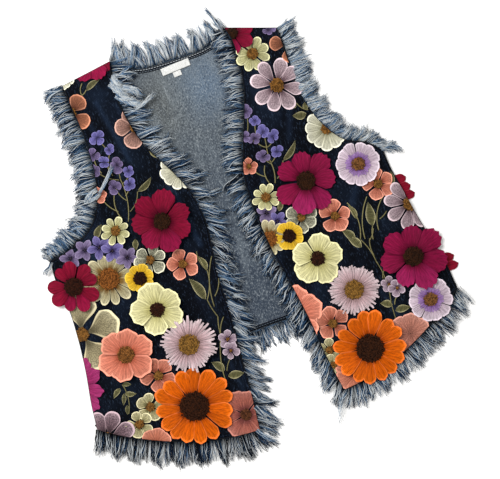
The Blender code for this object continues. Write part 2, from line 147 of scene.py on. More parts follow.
# Frayed trims. Length runs from a lock's root to its tip. Lean and hook are in degrees: how far
# locks sway from side to side, and how far their tips curl round. Lie is how high they start,
# loft how high they arch, and tone is above 0 where white yarn shows more. At the FAN_STOPS along
# the edge, fan is how far locks turn from straight out, in degrees, and full is what their length
# is multiplied by.
LOWER_LAYER_TOP = 2.6
STRIP_WIDTH = 4
BACK_HEM_REACH = 37
# How far past the back's hem line the fronts start and end to rise, and to sink, in millimetres.
BACK_HEM_RISE = (-14, -2)
BACK_HEM_FALL = (BACK_HEM_REACH + 6, BACK_HEM_REACH + 36)
FAN_STOPS = (0, 0.15, 0.5, 0.85, 1)
EVEN = (1, 1, 1, 1, 1)
Trim = namedtuple("Trim", "name length spread lean hook fan full lie loft tone seed")
TRIMS = {
    "back neck": Trim(
        "fringe_back_neck", 33, 5, 16, 90, (30, 8, 0, -10, -24), (1, 1, 1, 0.95, 0.5),
        0.7, 4.0, 0.21, 3,
    ),
    "left edge": Trim(
        "fringe_edge_left", 32, 5, 12, -48, (4, -24, -36, -38, -30), EVEN, 0.5, 4.0, -0.01, 5
    ),
    "right edge": Trim(
        "fringe_edge_right", 29, 5, 13, 50, (-8, 6, 20, 36, 34), EVEN, 0.5, 4.0, -0.06, 8
    ),
    "left armhole": Trim(
        "fringe_armhole_left", 31, 5, 12, 95, (-12, 0, 4, 8, 20), (1, 1, 1, 1, 0.7),
        0.5, 3.5, 0.03, 13,
    ),
    "right armhole": Trim(
        "fringe_armhole_right", 28, 5, 13, 62, (20, 4, -10, -42, -58), (0.9, 1, 0.95, 0.8, 0.8),
        0.5, 3.5, 0.27, 21,
    ),
    "left back armhole": Trim(
        "fringe_back_armhole_left", 26, 5, 12, 80, (-8, 0, 0, 6, 16), (1, 1, 1, 1, 0.7),
        0.3, 1.0, 0, 34,
    ),
    "right back armhole": Trim(
        "fringe_back_armhole_right", 24, 5, 12, 60, (16, 0, -8, -38, -50), (1, 1, 0.95, 0.8, 0.8),
        0.3, 1.0, 0.12, 55,
    ),
    "left hem": Trim(
        "fringe_hem_left", 33, 5, 6, 20, (22, 2, 0, 4, 20), EVEN, 0.5, 3.5, -0.34, 2
    ),
    "right hem": Trim(
        "fringe_hem_right", 30, 5, 9, -34, (-38, -10, 0, -6, -18), EVEN, 0.5, 3.5, -0.04, 4
    ),
    "back hem": Trim(
        "fringe_back_hem", 30, 5, 12, 40, (-12, 0, 0, 0, 12), EVEN, 0.2, 0.5, -0.06, 6
    ),
}
THREAD_RINGS = 7
LOCK_PITCH = 3.0
LOCK_HALF_WIDTH = 3.4
STRIP_COLUMNS = 5
WHITE_THREADS = 0.15
WISP_SEED = 100
Wisp = namedtuple("Wisp", "x y heading length count half bend lie tone")
WISPS = (
    Wisp(76, 246, 104, 42, 34, 1.5, 8, 5, 0.05),
    Wisp(-85, 243, -82, 25, 60, 4.2, 30, 8, 0.34),
    Wisp(-91, 234, -58, 34, 70, 4.6, -14, 8, 0.40),
    Wisp(-88, 216, -47, 34, 60, 4.4, 20, 8, 0.36),
    Wisp(-79, 224, -24, 34, 50, 4.2, -34, 8, 0.30),
    Wisp(-78, 206, -52, 28, 40, 3.6, 50, 8, 0.34),
    Wisp(-70, 190, 10, 34, 20, 2.2, 24, 8, 0.38),
    Wisp(-152, 100, 40, 40, 34, 1.9, 10, 9, 0.36),
    Wisp(-154, 106, 190, 26, 34, 3.0, 60, 5, 0.38),
    Wisp(-152, 100, 214, 22, 30, 2.6, -50, 5, 0.34),
    Wisp(-244, 34, 232, 20, 24, 2.6, -30, 5, 0.10),
    Wisp(228, 30, -8, 26, 26, 2.8, -50, 5, 0.05),
    Wisp(-60, -270, -58, 32, 18, 2.4, 20, 4, 0.22),
    Wisp(66, -262, -118, 40, 9, 3.4, 10, 3, 0.62),
)

# Colours of threads and cloth, as sRGB hex values.
DARK_DENIM = "090c13"
DENIM_FADE = "1c283b"
WASHED_DENIM = "6e7476"
WASHED_DENIM_BLUE = "5b6879"
WASHED_SPOTS = (((0.032, 0.19, 0.01), "6d8299"), ((-0.05, 0.185, 0.01), "5f6260"))
FRAY_COLOURS = ("0a111d", "172a45", "34577c", "6f8fb0", "b2c1cd", "eaecea")
OCHRE = "9a6a30"
BACK_PETAL = "8a0c26"
EDGE_CORD = "0b0e15"
FRONT_STITCH = "26334a"
NECK_STITCHES = ("ccd3d8", "7c8690")
HEM_STITCH = "5d6773"
SAGE = "605d3a"
SAGE_LIGHT = "9c956c"
STEM = "8a8358"

# A kind of flower. Its petals lie in whorls. Shares are of the flower's radius, or of a petal's
# own width: foot is the width at the base, belly is where the petal is full, round is how far
# its corners draw back from the tip, and blush is where the inner colour has gone. Cup, step,
# tilt and curl are heights in millimetres. Lace is how open the stitches are, and rim how clear
# the outline cord is. A collar is a second kind of that size round the eye.
Kind = namedtuple(
    "Kind",
    "petals whorls spread foot belly round power frill teeth start uneven cup step tilt curl "
    "lace rim eye eye_colour inner outer edge flush blush collar collar_size",
)
PLAIN = Kind(
    petals=8, whorls=1, spread=1.04, foot=0.5, belly=0.7, round=0.2, power=2.6, frill=0.02,
    teeth=3, start=0.12, uneven=0.05, cup=1.0, step=0.35, tilt=0.6, curl=1.2, lace=0.0, rim=0.3,
    eye=0.25, eye_colour=OCHRE, inner="ffffff", outer="ffffff", edge="ffffff", flush="",
    blush=(0.16, 0.50), collar="", collar_size=0.5,
)
OPEN_WORK = PLAIN._replace(
    spread=0.90, foot=0.30, belly=0.72, round=0.28, power=2.4, frill=0.0, uneven=0.06, cup=0.7,
    step=0.2, tilt=0.1, curl=0.3, lace=0.4, rim=0.8,
)
COSMOS = PLAIN._replace(
    petals=7, spread=1.08, foot=0.6, belly=0.60, round=0.25, power=2.4, frill=0.035, teeth=5,
    uneven=0.08, cup=1.4, step=0.6, tilt=0.9, curl=2.2, rim=0.0, eye=0.27,
    eye_colour="3a1f0c", inner="5c0420", outer="80082c", edge="8c0c34", flush="a0144a",
)
FADED_ROSE = OPEN_WORK._replace(
    petals=6, spread=1.16, foot=0.98, belly=0.6, round=0.16, frill=0.022, start=0.02, rim=0.6,
    lace=0.2, eye=0.0, inner="ca8370", outer="cf8874", edge="dea08e",
)
RAYS = PLAIN._replace(
    petals=46, spread=0.55, foot=0.9, belly=0.3, round=0.85, power=1.0, frill=0.0, start=0.5,
    uneven=0.14, cup=0.1, step=0.15, tilt=0.0, curl=0.4, rim=0.0, inner="32170a",
    outer="3c1a08", edge="5c2a0a",
)
VIOLET = OPEN_WORK._replace(
    petals=5, spread=1.02, foot=0.44, belly=0.5, round=0.46, power=1.4, lace=0.15, rim=0.35,
    eye=0.08, eye_colour="4e4050", inner="50467e", outer="766ca8", edge="8b82ba",
)
BUD = OPEN_WORK._replace(
    petals=4, spread=0.98, foot=0.6, belly=0.5, round=0.24, start=0.02, uneven=0.2,
    lace=0.25, rim=0.4, eye=0.0, inner="5c568e", outer="706aac", edge="8a84c2",
)
KINDS = {
    "gerbera": PLAIN._replace(
        petals=15, spread=1.12, foot=0.70, belly=0.62, round=0.20, power=2.4, frill=0.010, teeth=3,
        start=0.30, uneven=0.06, cup=1.0, step=0.5, tilt=0.5, curl=1.6, rim=0.5, eye=0.37,
        eye_colour="40200c", inner="b84600", outer="e26200", edge="ec7004", blush=(0.0, 0.4),
        collar="brown rays", collar_size=0.64,
    ),
    "cosmos": COSMOS,
    "bright cosmos": COSMOS._replace(
        eye=0.29, inner="68062a", outer="8e1040", edge="9a1448", flush="ad2464",
    ),
    "fuchsia": PLAIN._replace(
        petals=11, spread=1.10, foot=0.6, round=0.25, power=1.8, frill=0.03, teeth=3, rim=0.0,
        eye_colour="3a1f0c", inner="760a48", outer="9c2862", edge="b03c78",
    ),
    "dahlia": PLAIN._replace(
        petals=9, spread=1.0, foot=0.5, belly=0.70, round=0.24, power=2.2, frill=0.0, teeth=3,
        uneven=0.07, cup=1.3, step=0.6, tilt=0.7, curl=2.0, rim=0.0, eye=0.35,
        eye_colour="3a190b", inner="5c0420", outer="880a2c", edge="900e32", flush="980e42",
    ),
    "poppy": PLAIN._replace(
        petals=5, spread=1.12, foot=0.72, belly=0.5, round=0.25, power=2.3, frill=0.030, teeth=4,
        start=0.08, uneven=0.07, cup=1.4, step=0.8, tilt=1.4, curl=1.8, rim=0.5, eye=0.27,
        eye_colour="3c1c0e", inner="d4ca7c", outer="e9e2a4", edge="f2ecb8", blush=(0.1, 0.6),
    ),
    "rose": PLAIN._replace(
        petals=6, spread=1.16, foot=0.66, belly=0.6, round=0.25, power=2.2, frill=0.034, teeth=3,
        start=0.08, uneven=0.08, cup=1.4, step=0.8, tilt=1.3, curl=1.8, rim=0.6, eye=0.30,
        eye_colour="9a6430", inner="cc6446", outer="e6846a", edge="f09c82",
    ),
    "dusty rose": OPEN_WORK._replace(
        petals=7, spread=1.12, foot=0.6, belly=0.6, round=0.14, frill=0.022, rim=0.5, lace=0.2,
        eye=0.22, eye_colour="74452a", inner="96504a", outer="bd6c5c", edge="d08a7a",
    ),
    "faded rose": FADED_ROSE,
    "coral rose": FADED_ROSE._replace(
        lace=0.1, inner="cc7458", outer="da8468", edge="e89c84",
    ),
    "aster": PLAIN._replace(
        petals=120, whorls=3, spread=0.85, foot=0.7, belly=0.4, round=0.34, power=1.4, frill=0.0,
        start=0.20, uneven=0.11, cup=0.3, step=0.4, tilt=0.0, curl=1.2, rim=0.0, eye=0.34,
        eye_colour="a07434", inner="bc9694", outer="e6c2c6", edge="f6e6e8", blush=(0.2, 0.55),
    ),
    "anemone": PLAIN._replace(
        petals=11, spread=1.08, foot=0.9, belly=0.3, round=0.10, frill=0.012, cup=0.7, step=0.3,
        uneven=0.03, rim=0.45, eye=0.31, eye_colour="8f6035", inner="c0a9bb", outer="d3bccb",
        edge="e8dae2", collar="violet ring", collar_size=0.62,
    ),
    "brown rays": RAYS,
    "violet ring": PLAIN._replace(
        petals=30, spread=1.2, foot=0.9, belly=0.3, round=0.28, power=1.4, frill=0.0, start=0.4,
        uneven=0.10, cup=0.1, step=0.15, tilt=0.0, curl=0.2, rim=0.0, inner="734a90",
        outer="9c76b0", edge="b090c2",
    ),
    "sun": PLAIN._replace(
        petals=12, spread=1.02, foot=0.5, belly=0.6, round=0.26, power=2.2, frill=0.0, start=0.2,
        uneven=0.09, step=0.3, curl=0.7, lace=0.25, rim=0.6, eye=0.40, eye_colour="a2622a",
        inner="8e6a32", outer="c3b68b", edge="dfd6b0", blush=(0.3, 0.6), collar="ochre rays",
        collar_size=0.60,
    ),
    "ochre rays": RAYS._replace(
        petals=48, spread=0.6, inner="8e5826", outer="ab7a3c", edge="c8a468",
    ),
    "daisy": OPEN_WORK._replace(
        petals=8, lace=0.2, eye=0.32, inner="a8a05c", outer="cfca92", edge="e6e2b4",
    ),
    "bluet": OPEN_WORK._replace(
        petals=5, spread=0.90, lace=0.35, rim=0.9, eye=0.30, inner="908858", outer="c6bc8a",
        edge="e6ddb4",
    ),
    "primrose": OPEN_WORK._replace(
        petals=5, spread=0.96, foot=0.4, round=0.24, frill=0.03, teeth=2, lace=0.2, eye=0.25,
        inner="a9553c", outer="cf7a62", edge="e89d84",
    ),
    "mallow": OPEN_WORK._replace(
        petals=8, uneven=0.04, lace=0.4, inner="866870", outer="b89fa6", edge="dcc6cc",
    ),
    "shaded mallow": OPEN_WORK._replace(
        petals=7, uneven=0.04, lace=0.6, eye=0.2, inner="644c52", outer="8c7078",
        edge="d0b4bc",
    ),
    "rosy mallow": OPEN_WORK._replace(
        petals=5, spread=0.92, foot=0.36, lace=0.4, inner="7a5548", outer="a2796c",
        edge="d0a08f",
    ),
    "coral mallow": OPEN_WORK._replace(
        petals=4, spread=0.74, foot=0.40, lace=0.35, inner="7c4630", outer="a2654a",
        edge="d98c68",
    ),
    "lace": OPEN_WORK._replace(
        petals=6, spread=0.92, foot=0.36, round=0.24, frill=0.02, lace=0.6, rim=1.0,
        inner="86846c", outer="aeac92", edge="d6d3ba",
    ),
    "broad lace": OPEN_WORK._replace(
        petals=5, spread=0.98, foot=0.14, belly=0.85, round=0.24, power=2.2, frill=0.02,
        lace=0.45, rim=1.0, eye=0.17, inner="877c5c", outer="b8ab84", edge="dcd3ac",
    ),
    "scallop": OPEN_WORK._replace(
        petals=12, spread=1.02, foot=0.9, belly=0.3, round=0.10, lace=0.15, rim=0.7,
        inner="b6b392", outer="d5d2b6", edge="edebd8",
    ),
    "marigold": PLAIN._replace(
        petals=7, spread=1.08, foot=0.6, belly=0.6, round=0.15, frill=0.012, start=0.2, cup=0.8,
        tilt=0.5, curl=0.6, rim=0.35, eye=0.45, eye_colour="33190a", inner="c08a0c",
        outer="ecba28", edge="f6d04a",
    ),
    "violet": VIOLET,
    "plum violet": VIOLET._replace(
        inner="5c4e70", outer="84739a", edge="9a8bae",
    ),
    "bud": BUD,
    "plum bud": BUD._replace(
        lace=0.3, inner="5c4e72", outer="72628c", edge="8a7aa4",
    ),
    "pansy": OPEN_WORK._replace(
        petals=5, spread=0.94, foot=0.45, belly=0.6, frill=0.02, lace=0.25, rim=0.6, eye=0.16,
        inner="80647a", outer="b29aa8", edge="d8c4d0",
    ),
}
PETAL_ROWS = 11
PETAL_COLUMNS = 9
LARGE_FLOWER = 60
LARGE_PETAL_COLUMNS = 17
FINE_PETAL_ROWS = 8
FINE_PETAL_COLUMNS = 4
FINE_PETAL_COUNT = 22
LAYER_HEIGHT = 0.85
GROUND_LIFT = 0.5
LARGE_FLOWER_LIFT = 1.6
DROOP = 0.10
KNOT_PITCH = 1.5
KNOT_GRID = 4
GOLDEN_ANGLE = 137.508
OVERLAP = 0.44
FLOWER_SEED = 500

# The flowers, from the bottom layer to the top one. A named piece stands for the cut-out flower
# of that name. A trimmed flower ends where the panel does, and its trim is the panel's edge.
Flower = namedtuple("Flower", "piece kind x y size turn trimmed")
SMALL = ""
FLOWERS = (
    Flower(SMALL, "sun", -179, -13, 70, 0, False),
    Flower(SMALL, "broad lace", -237, -71, 108, 69, True),
    Flower(SMALL, "plum violet", -218, 30, 31, 10, True),
    Flower(SMALL, "plum violet", -196, 34, 31, 50, False),
    Flower(SMALL, "violet", -177, 31, 33, 30, False),
    Flower(SMALL, "violet", -162, 21, 32, 5, False),
    Flower(SMALL, "plum violet", -146, 6, 31, 40, False),
    Flower(SMALL, "daisy", -149, 45, 39, 12, False),
    Flower(SMALL, "lace", -118, -7, 44, 0, False),
    Flower(SMALL, "primrose", -79, -27, 43, 15, False),
    Flower(SMALL, "marigold", -139, -26, 39, 5, False),
    Flower(SMALL, "primrose", -160, -157, 48, 30, False),
    Flower(SMALL, "bluet", -184, -193, 39, 0, False),
    Flower(SMALL, "bluet", -205, -210, 38, 25, True),
    Flower(SMALL, "shaded mallow", -251, -213, 76, 2, True),
    Flower(SMALL, "fuchsia", -277, -135, 94, 12, True),
    Flower(SMALL, "dusty rose", -67, -246, 66, 10, True),
    Flower(SMALL, "coral rose", -193, -242, 44, 0, True),
    Flower(SMALL, "rosy mallow", -77, 167, 58, 18, True),
    Flower(SMALL, "coral mallow", -153.5, 213, 60, -43, True),
    Flower(SMALL, "scallop", -39, 96, 57, 0, True),
    Flower(SMALL, "cosmos", -104, 277, 74, 20, True),
    Flower(SMALL, "scallop", -148, 262, 32, 20, True),
    Flower(SMALL, "primrose", -156, 98, 24, 0, True),
    Flower(SMALL, "pansy", -56, -142, 27, 0, True),
    Flower(SMALL, "pansy", -57, -158, 24, 40, False),
    Flower(SMALL, "daisy", 103, 207, 46, 10, False),
    Flower(SMALL, "cosmos", 86, 242, 58, 0, True),
    Flower(SMALL, "mallow", 120, 157, 73, 17.5, False),
    Flower(SMALL, "coral mallow", 152, 203, 48, 68, True),
    Flower(SMALL, "plum bud", 134, 231, 18, 0, True),
    Flower(SMALL, "scallop", 164, 80, 60, 10, True),
    Flower(SMALL, "primrose", 203, -13, 45, 20, False),
    Flower(SMALL, "mallow", 235, -52, 73, 19.5, True),
    Flower(SMALL, "primrose", 135, -34, 44, 0, False),
    Flower(SMALL, "plum violet", 50, 0, 30, 0, True),
    Flower(SMALL, "violet", 60, -15, 29, 40, False),
    Flower(SMALL, "daisy", 56, 20, 38, 0, True),
    Flower(SMALL, "sun", 42, -34, 50, 0, True),
    Flower(SMALL, "lace", 92, -21, 44, 15, False),
    Flower(SMALL, "marigold", 68, -39, 39, 15, False),
    Flower(SMALL, "rose", 35, -141, 82, 0, True),
    Flower(SMALL, "primrose", 84, -169, 46, 10, False),
    Flower(SMALL, "bluet", 68, -202, 34, 0, True),
    Flower(SMALL, "bluet", 67, -222, 30, 20, True),
    Flower(SMALL, "coral rose", 90, -243, 56, 0, True),
    Flower(SMALL, "faded rose", 178, -217, 58, 10, True),
    Flower(SMALL, "primrose", 48, 67, 24, 0, True),
    Flower(SMALL, "pansy", 173, -145, 24, 0, False),
    Flower(SMALL, "pansy", 181, -153, 24, 30, False),
    Flower("flower_crimson_left_chest", "cosmos", -86, 36, 82, 10, False),
    Flower("flower_crimson_left_side", "dahlia", -226, -7, 70, 0, False),
    Flower("flower_cream_left", "poppy", -131, -73, 72, 25, False),
    Flower("flower_coral_left", "rose", -191, -116, 73, 5, False),
    Flower("flower_aster_left", "aster", -107, -131, 80, 0, False),
    Flower("flower_orange_left", "gerbera", -128, -212, 105, 0, False),
    Flower("flower_crimson_right_chest", "bright cosmos", 114, 23, 85, -15, False),
    Flower("flower_lilac_right_chest", "anemone", 187, 21, 59, 0, False),
    Flower("flower_lilac_right_hem", "anemone", 218, -182, 59, 10, False),
    Flower("flower_crimson_right_side", "bright cosmos", 215, -120, 88, 20, False),
    Flower("flower_cream_right", "poppy", 94, -80, 71, 0, False),
    Flower("flower_aster_right", "aster", 126, -136, 75, 9, False),
    Flower("flower_orange_right", "gerbera", 120, -217, 99, 12, False),
)
SLOTS = {
    "cosmos": "crimson_thread",
    "bright cosmos": "crimson_thread",
    "dahlia": "crimson_thread",
    "poppy": "cream_thread",
    "rose": "coral_thread",
    "aster": "pink_thread",
    "gerbera": "orange_thread",
    "anemone": "lilac_thread",
}
PetalTab = namedtuple("PetalTab", "name y reach petals")
PETAL_TABS = (
    PetalTab("petals_back_upper", -28, 13, 3),
    PetalTab("petals_back_lower", -143, 16, 2),
)
PETAL_TAB_PITCH = 12
PETAL_TAB_SEED = 40

# Stems run from their foot to their head with a bow to one side. A leaf runs from its foot to its
# tip, and is that wide.
Stem = namedtuple("Stem", "foot head bow")
STEMS = (
    Stem((-129, 51), (-120, 108), -4),
    Stem((-120, 108), (-118, 125), 0),
    Stem((-119, 102), (-107, 112), -2),
    Stem((-122, 108), (-147, 129), 3),
    Stem((-131, 121), (-121, 147), 2),
    Stem((-122, 148), (-130, 167), 0),
    Stem((-141, 124), (-144, 149), 2),
    Stem((-128, 116), (-132, 134), 0),
    Stem((-121, 78), (-130, 98), 2),
    Stem((-121, 85), (-112, 95), -1),
    Stem((-136, 58), (-134, 93), 4),
    Stem((-137, 68), (-153, 96), 3),
    Stem((-122, 63), (-104, 85), -3),
    Stem((-131, 231), (-125, 246), 2),
    Stem((-131, 231), (-123, 236), -1),
    Stem((-77, -199), (-63, -135), 4),
    Stem((-63, -135), (-58, -109), 1),
    Stem((-58, -109), (-64, -83), 1),
    Stem((-64, -83), (-51, -46), -3),
    Stem((-51, -46), (-56, -17), 3),
    Stem((-58, -95), (-39, -30), 5),
    Stem((-53, -82), (-40, -61), -2),
    Stem((-63, -135), (-51, -112), 2),
    Stem((-71, -182), (-56, -164), 2),
    Stem((-214, -192), (-209, -152), -4),
    Stem((74, 34), (78, 62), -2),
    Stem((78, 62), (80, 86), 1),
    Stem((80, 86), (82, 101), 0),
    Stem((80, 83), (91, 92), -2),
    Stem((80, 83), (69, 99), 3),
    Stem((72, 102), (76, 120), 1),
    Stem((66, 97), (56, 106), 0),
    Stem((78, 60), (72, 71), 1),
    Stem((79, 62), (89, 71), -1),
    Stem((67, 37), (69, 61), 3),
    Stem((66, 46), (51, 66), 3),
    Stem((79, 39), (94, 59), -3),
    Stem((60, 108), (69, 137), -2),
    Stem((149, 112), (137, 126), 2),
    Stem((163, -77), (184, -24), 5),
    Stem((173, -81), (178, -64), 1),
    Stem((184, -72), (204, -31), 5),
    Stem((190, -58), (202, -51), -1),
    Stem((157, -75), (156, -23), -6),
    Stem((166, -191), (167, -168), 0),
    Stem((167, -169), (167, -110), -4),
    Stem((167, -110), (157, -76), -2),
    Stem((167, -102), (169, -78), 2),
    Stem((169, -80), (178, -67), -1),
    Stem((168, -135), (173, -125), 1),
    Stem((171, -173), (183, -160), 2),
)
Leaf = namedtuple("Leaf", "foot tip width")
LEAVES = (
    Leaf((-104, 85), (-80, 98), 8),
    Leaf((-123, 235), (-101, 243), 8),
    Leaf((-71, 131), (-61, 116), 7),
    Leaf((-178, 43), (-164, 60), 9),
    Leaf((-128, 26), (-133, 11), 8),
    Leaf((-66, -82), (-78, -48), 13),
    Leaf((-51, -45), (-56, -24), 7),
    Leaf((-74, -181), (-87, -164), 11),
    Leaf((-72, -189), (-50, -192), 11),
    Leaf((-213, -156), (-226, -166), 7),
    Leaf((-209, -152), (-198, -156), 6),
    Leaf((-210, -164), (-195, -170), 7),
    Leaf((-211, -164), (-217, -179), 6),
    Leaf((-212, -180), (-216, -193), 6),
    Leaf((-164, -27), (-158, -42), 7),
    Leaf((94, 59), (119, 80), 8),
    Leaf((145, 108), (126, 112), 11),
    Leaf((147, 113), (148, 124), 7),
    Leaf((137, 125), (126, 125), 8),
    Leaf((178, -64), (183, -31), 13),
    Leaf((219, -22), (226, -2), 8),
    Leaf((161, -48), (156, -26), 7),
    Leaf((150, -74), (137, -55), 11),
    Leaf((66, -3), (76, 9), 7),
    Leaf((168, -173), (153, -165), 10),
    Leaf((169, -181), (190, -183), 10),
    Leaf((155, -86), (141, -67), 11),
    Leaf((78, -57), (72, -50), 5),
)
Bud = namedtuple("Bud", "kind x y size")
BUDS = (
    Bud("plum bud", -118, 128, 21),
    Bud("bud", -106, 115, 17),
    Bud("plum bud", -149, 131, 17),
    Bud("bud", -121, 150, 16),
    Bud("bud", -131, 171, 20),
    Bud("plum bud", -144, 151, 17),
    Bud("bud", -133, 137, 17),
    Bud("plum bud", -132, 101, 18),
    Bud("bud", -111, 98, 18),
    Bud("bud", 82, 104, 20),
    Bud("bud", 92, 94, 18),
    Bud("plum bud", 68, 100, 17),
    Bud("bud", 76, 122, 16),
    Bud("plum bud", 56, 107, 15),
    Bud("plum bud", 71, 73, 18),
    Bud("bud", 90, 73, 18),
    Bud("plum bud", 69, 138, 17),
)
STEM_RADIUS = 0.75
STEM_POINTS = 16
LEAF_ROWS = 9
LEAF_COLUMNS = 5
STEM_SEED = 77
LEAF_SEED = 900
BUD_TURN = 50

# The neck tape, the hem tape, the stitch rows and the label.
TAPE_WIDTH = 6
TAPE_LIFT = 0.5
STITCH_LENGTH = 2.6
STITCH_PITCH = 3.8
STITCH_INSET = 3.2
STITCH_RADIUS = 0.28
TAPE_STITCH_RADIUS = 0.45
EDGE_CORD_RADIUS = 0.9
EDGE_CORD_SINK = 0.2
LABEL = (40, 10, 0.6)
LABEL_CENTRE = (0, 226)
LABEL_TURN = 2.8
LABEL_GRID = (41, 11)
TAB = (11, 7, 0.5)
TAB_CENTRE = (-1, 217)

# The picture: how the waistcoat is turned, and what the camera sees of it.
PICTURE_TURN = -19.5
PICTURE_CENTRE = (17, -26)
PICTURE_WIDTH = 673.5
PAPER_REACH = 4000

# The lamp's diameter and place are in metres, and its turn is in degrees.
LAMP_DIAMETER = 1.1
LAMP_PLACE = (-0.7, 0.9, 1.6)
LAMP_TURN = (-29, -23, 0)

# A wave texture repeats every 2 pi / 20 of its own units. Object coordinates are in metres. The
# Thread map is in millimetres, so a pattern of s millimetres has the scale 1 / s there.
WAVE = 2 * math.pi / 20
# Real twill lines are 0.8 mm apart. They are drawn at 1.5 mm, or they wouldn't show.
TWILL_SPACING = 1.5
TWILL_ANGLE = 62
# Rayon thread is 0.4 mm thick. Its stitches are drawn 1.1 mm apart so that they show.
THREAD_SPACING = 1.1

# Faces are a list of blocks with as many corners each. Thread runs along a thread, and Petal goes
# across a petal and out to its tip. Tint is a colour. Work is how open the stitches are, how clear
# the outline cord is, and how worn the cloth is.

Surface = namedtuple("Surface", "points faces thread petal tint work")


def linear(hex_colour):
    """sRGB hex to linear red, green and blue."""
    values = [int(hex_colour[i : i + 2], 16) / 255 for i in (0, 2, 4)]
    return [v / 12.92 if v <= 0.04045 else ((v + 0.055) / 1.055) ** 2.4 for v in values]


def ease(value, start, end):
    """0 before start, 1 after end, and 3t^2 - 2t^3 between them."""
    share = np.clip((value - start) / (end - start), 0, 1)
    return share * share * (3 - 2 * share)


def smooth(points, steps):
    """A Catmull-Rom curve through the points, with that many steps from each to the next."""
    points = np.array(points, float)
    ends = np.vstack([2 * points[0] - points[1], points, 2 * points[-1] - points[-2]])
    share = (np.arange(steps) / steps)[:, None]
    spans = []
    for before, start, end, after in zip(ends, ends[1:], ends[2:], ends[3:]):
        spans.append(
            start
            + 0.5 * share * (end - before)
            + share**2 * (before - 2.5 * start + 2 * end - 0.5 * after)
            + share**3 * (1.5 * (start - end) + 0.5 * (after - before))
        )
    return np.vstack([*spans, points[-1:]])


def front_edge(side, steps):
    """The neckline and centre-front edge of one front, from the shoulder to the hem."""
    return smooth([getattr(row, side + "_front") for row in SECTIONS], steps)


def side_edge(side, steps):
    """The armhole and the side seam of one front, with a corner where they meet."""
    points = [getattr(row, side + "_side") for row in SECTIONS]
    armhole = smooth(points[: ARMPIT + 1], steps)
    seam = smooth(points[ARMPIT:], steps)
    return np.vstack([armhole, seam[1:]])


def front_plan(side):
    """Rows of plan points from the front edge to the side. Between the two edges a point is at
    (1 - s) inner + s outer, less a bow of 4 s (1 - s) that grows as the cube of the way down."""
    inner, outer = front_edge(side, FRONT_STEPS), side_edge(side, FRONT_STEPS)
    across = np.linspace(0, 1, FRONT_COLUMNS)[None, :, None]
    plan = inner[:, None] * (1 - across) + outer[:, None] * across
    down = np.linspace(0, 1, len(inner))[:, None]
    plan[..., 1] -= FRONT_HEM_BOW * down**3 * 4 * across[..., 0] * (1 - across[..., 0])
    return plan


def back_hem_y(x):
    """The back hem: straight across the middle, and down to each side seam."""
    left, right = SECTIONS[-1].left_side, SECTIONS[-1].right_side
    corner_x = np.where(x < 0, left[0], right[0])
    drop = BACK_HEM_MIDDLE - np.where(x < 0, left[1], right[1])
    return BACK_HEM_MIDDLE - drop * np.clip(x / corner_x, 0, 1) ** BACK_HEM_SQUARENESS


def neck_y(x):
    """The back neckline: nearly flat, and up to the shoulder seam at each end."""
    left, right = SECTIONS[0].left_front, SECTIONS[0].right_front
    end_x = np.where(x < 0, left[0], right[0])
    end_y = np.where(x < 0, left[1], right[1])
    middle = NECK_MIDDLE + NECK_TILT * x
    return middle + (end_y - NECK_MIDDLE - NECK_TILT * end_x) * (x / end_x) ** NECK_SQUARENESS


def back_plan():
    """Rows of plan points from the left side to the right. The straight rows between the sides
    are moved to the neckline near the top, and to the hem's arch near the bottom."""
    left, right = side_edge("left", BACK_STEPS), side_edge("right", BACK_STEPS)
    first = SECTIONS[0]
    neck_x = np.linspace(first.left_front[0], first.right_front[0], BACK_NECK_COLUMNS + 1)
    shoulders = [
        np.linspace(start, end, BACK_SHOULDER_COLUMNS + 1)
        for start, end in (
            (first.left_side, first.left_front),
            (first.right_front, first.right_side),
        )
    ]
    top_x = np.concatenate([shoulders[0][:-1, 0], neck_x, shoulders[1][1:, 0]])
    top_y = np.concatenate([shoulders[0][:-1, 1], neck_y(neck_x), shoulders[1][1:, 1]])
    across = ((top_x - top_x[0]) / (top_x[-1] - top_x[0]))[None, :, None]
    plan = left[:, None] * (1 - across) + right[:, None] * across
    row = np.arange(len(left))[:, None]
    near_top = 1 - ease(row, 0, NECK_FADE_SECTIONS * BACK_STEPS)
    near_hem = (row / row[-1]) ** 3
    hem_y = back_hem_y(plan[-1, :, 0])
    plan[..., 1] += near_top * (top_y - plan[0, :, 1]) + near_hem * (hem_y - plan[-1, :, 1])
    return plan


def distance_to(points, start, end):
    """How far each point is from the straight line between start and end."""
    start, along = np.array(start, float), np.subtract(end, start, dtype=float)
    share = np.clip((points - start) @ along / (along @ along), 0, 1)
    return np.linalg.norm(points - start - share[..., None] * along, axis=-1)


def folds_at(points, folds):
    """Soft ridges: height times exp(-(distance / width)^2), added up."""
    return sum(
        fold.height * np.exp(-((distance_to(points, fold.start, fold.end) / fold.width) ** 2))
        for fold in folds
    )


def ripples_at(points):
    """Uneven cloth: sine waves of several lengths and directions, added up."""
    total = np.zeros(points.shape[:-1])
    for ripple in RIPPLES:
        angle = math.radians(ripple.angle)
        along = points[..., 0] * math.cos(angle) + points[..., 1] * math.sin(angle)
        total += ripple.height * np.sin(2 * np.pi * along / ripple.length + ripple.shift)
    return total


def back_top(points):
    """Height of the back's inside, which faces up."""
    ripples = ripples_at(points) + RIPPLE_LIFT
    return CLOTH + folds_at(points, BACK_FOLDS + BACK_CREASES) + BACK_RIPPLE_SHARE * ripples


def rest_level(points):
    """What a front lies on: the back, then the back's frayed hem, then the bare surface."""
    below = back_hem_y(points[..., 0]) - points[..., 1]
    step_up = (LOWER_LAYER_TOP - CLOTH) * ease(below, *BACK_HEM_RISE)
    step_down = LOWER_LAYER_TOP * ease(below, *BACK_HEM_FALL)
    return CLOTH + folds_at(points, BACK_FOLDS) + step_up - step_down


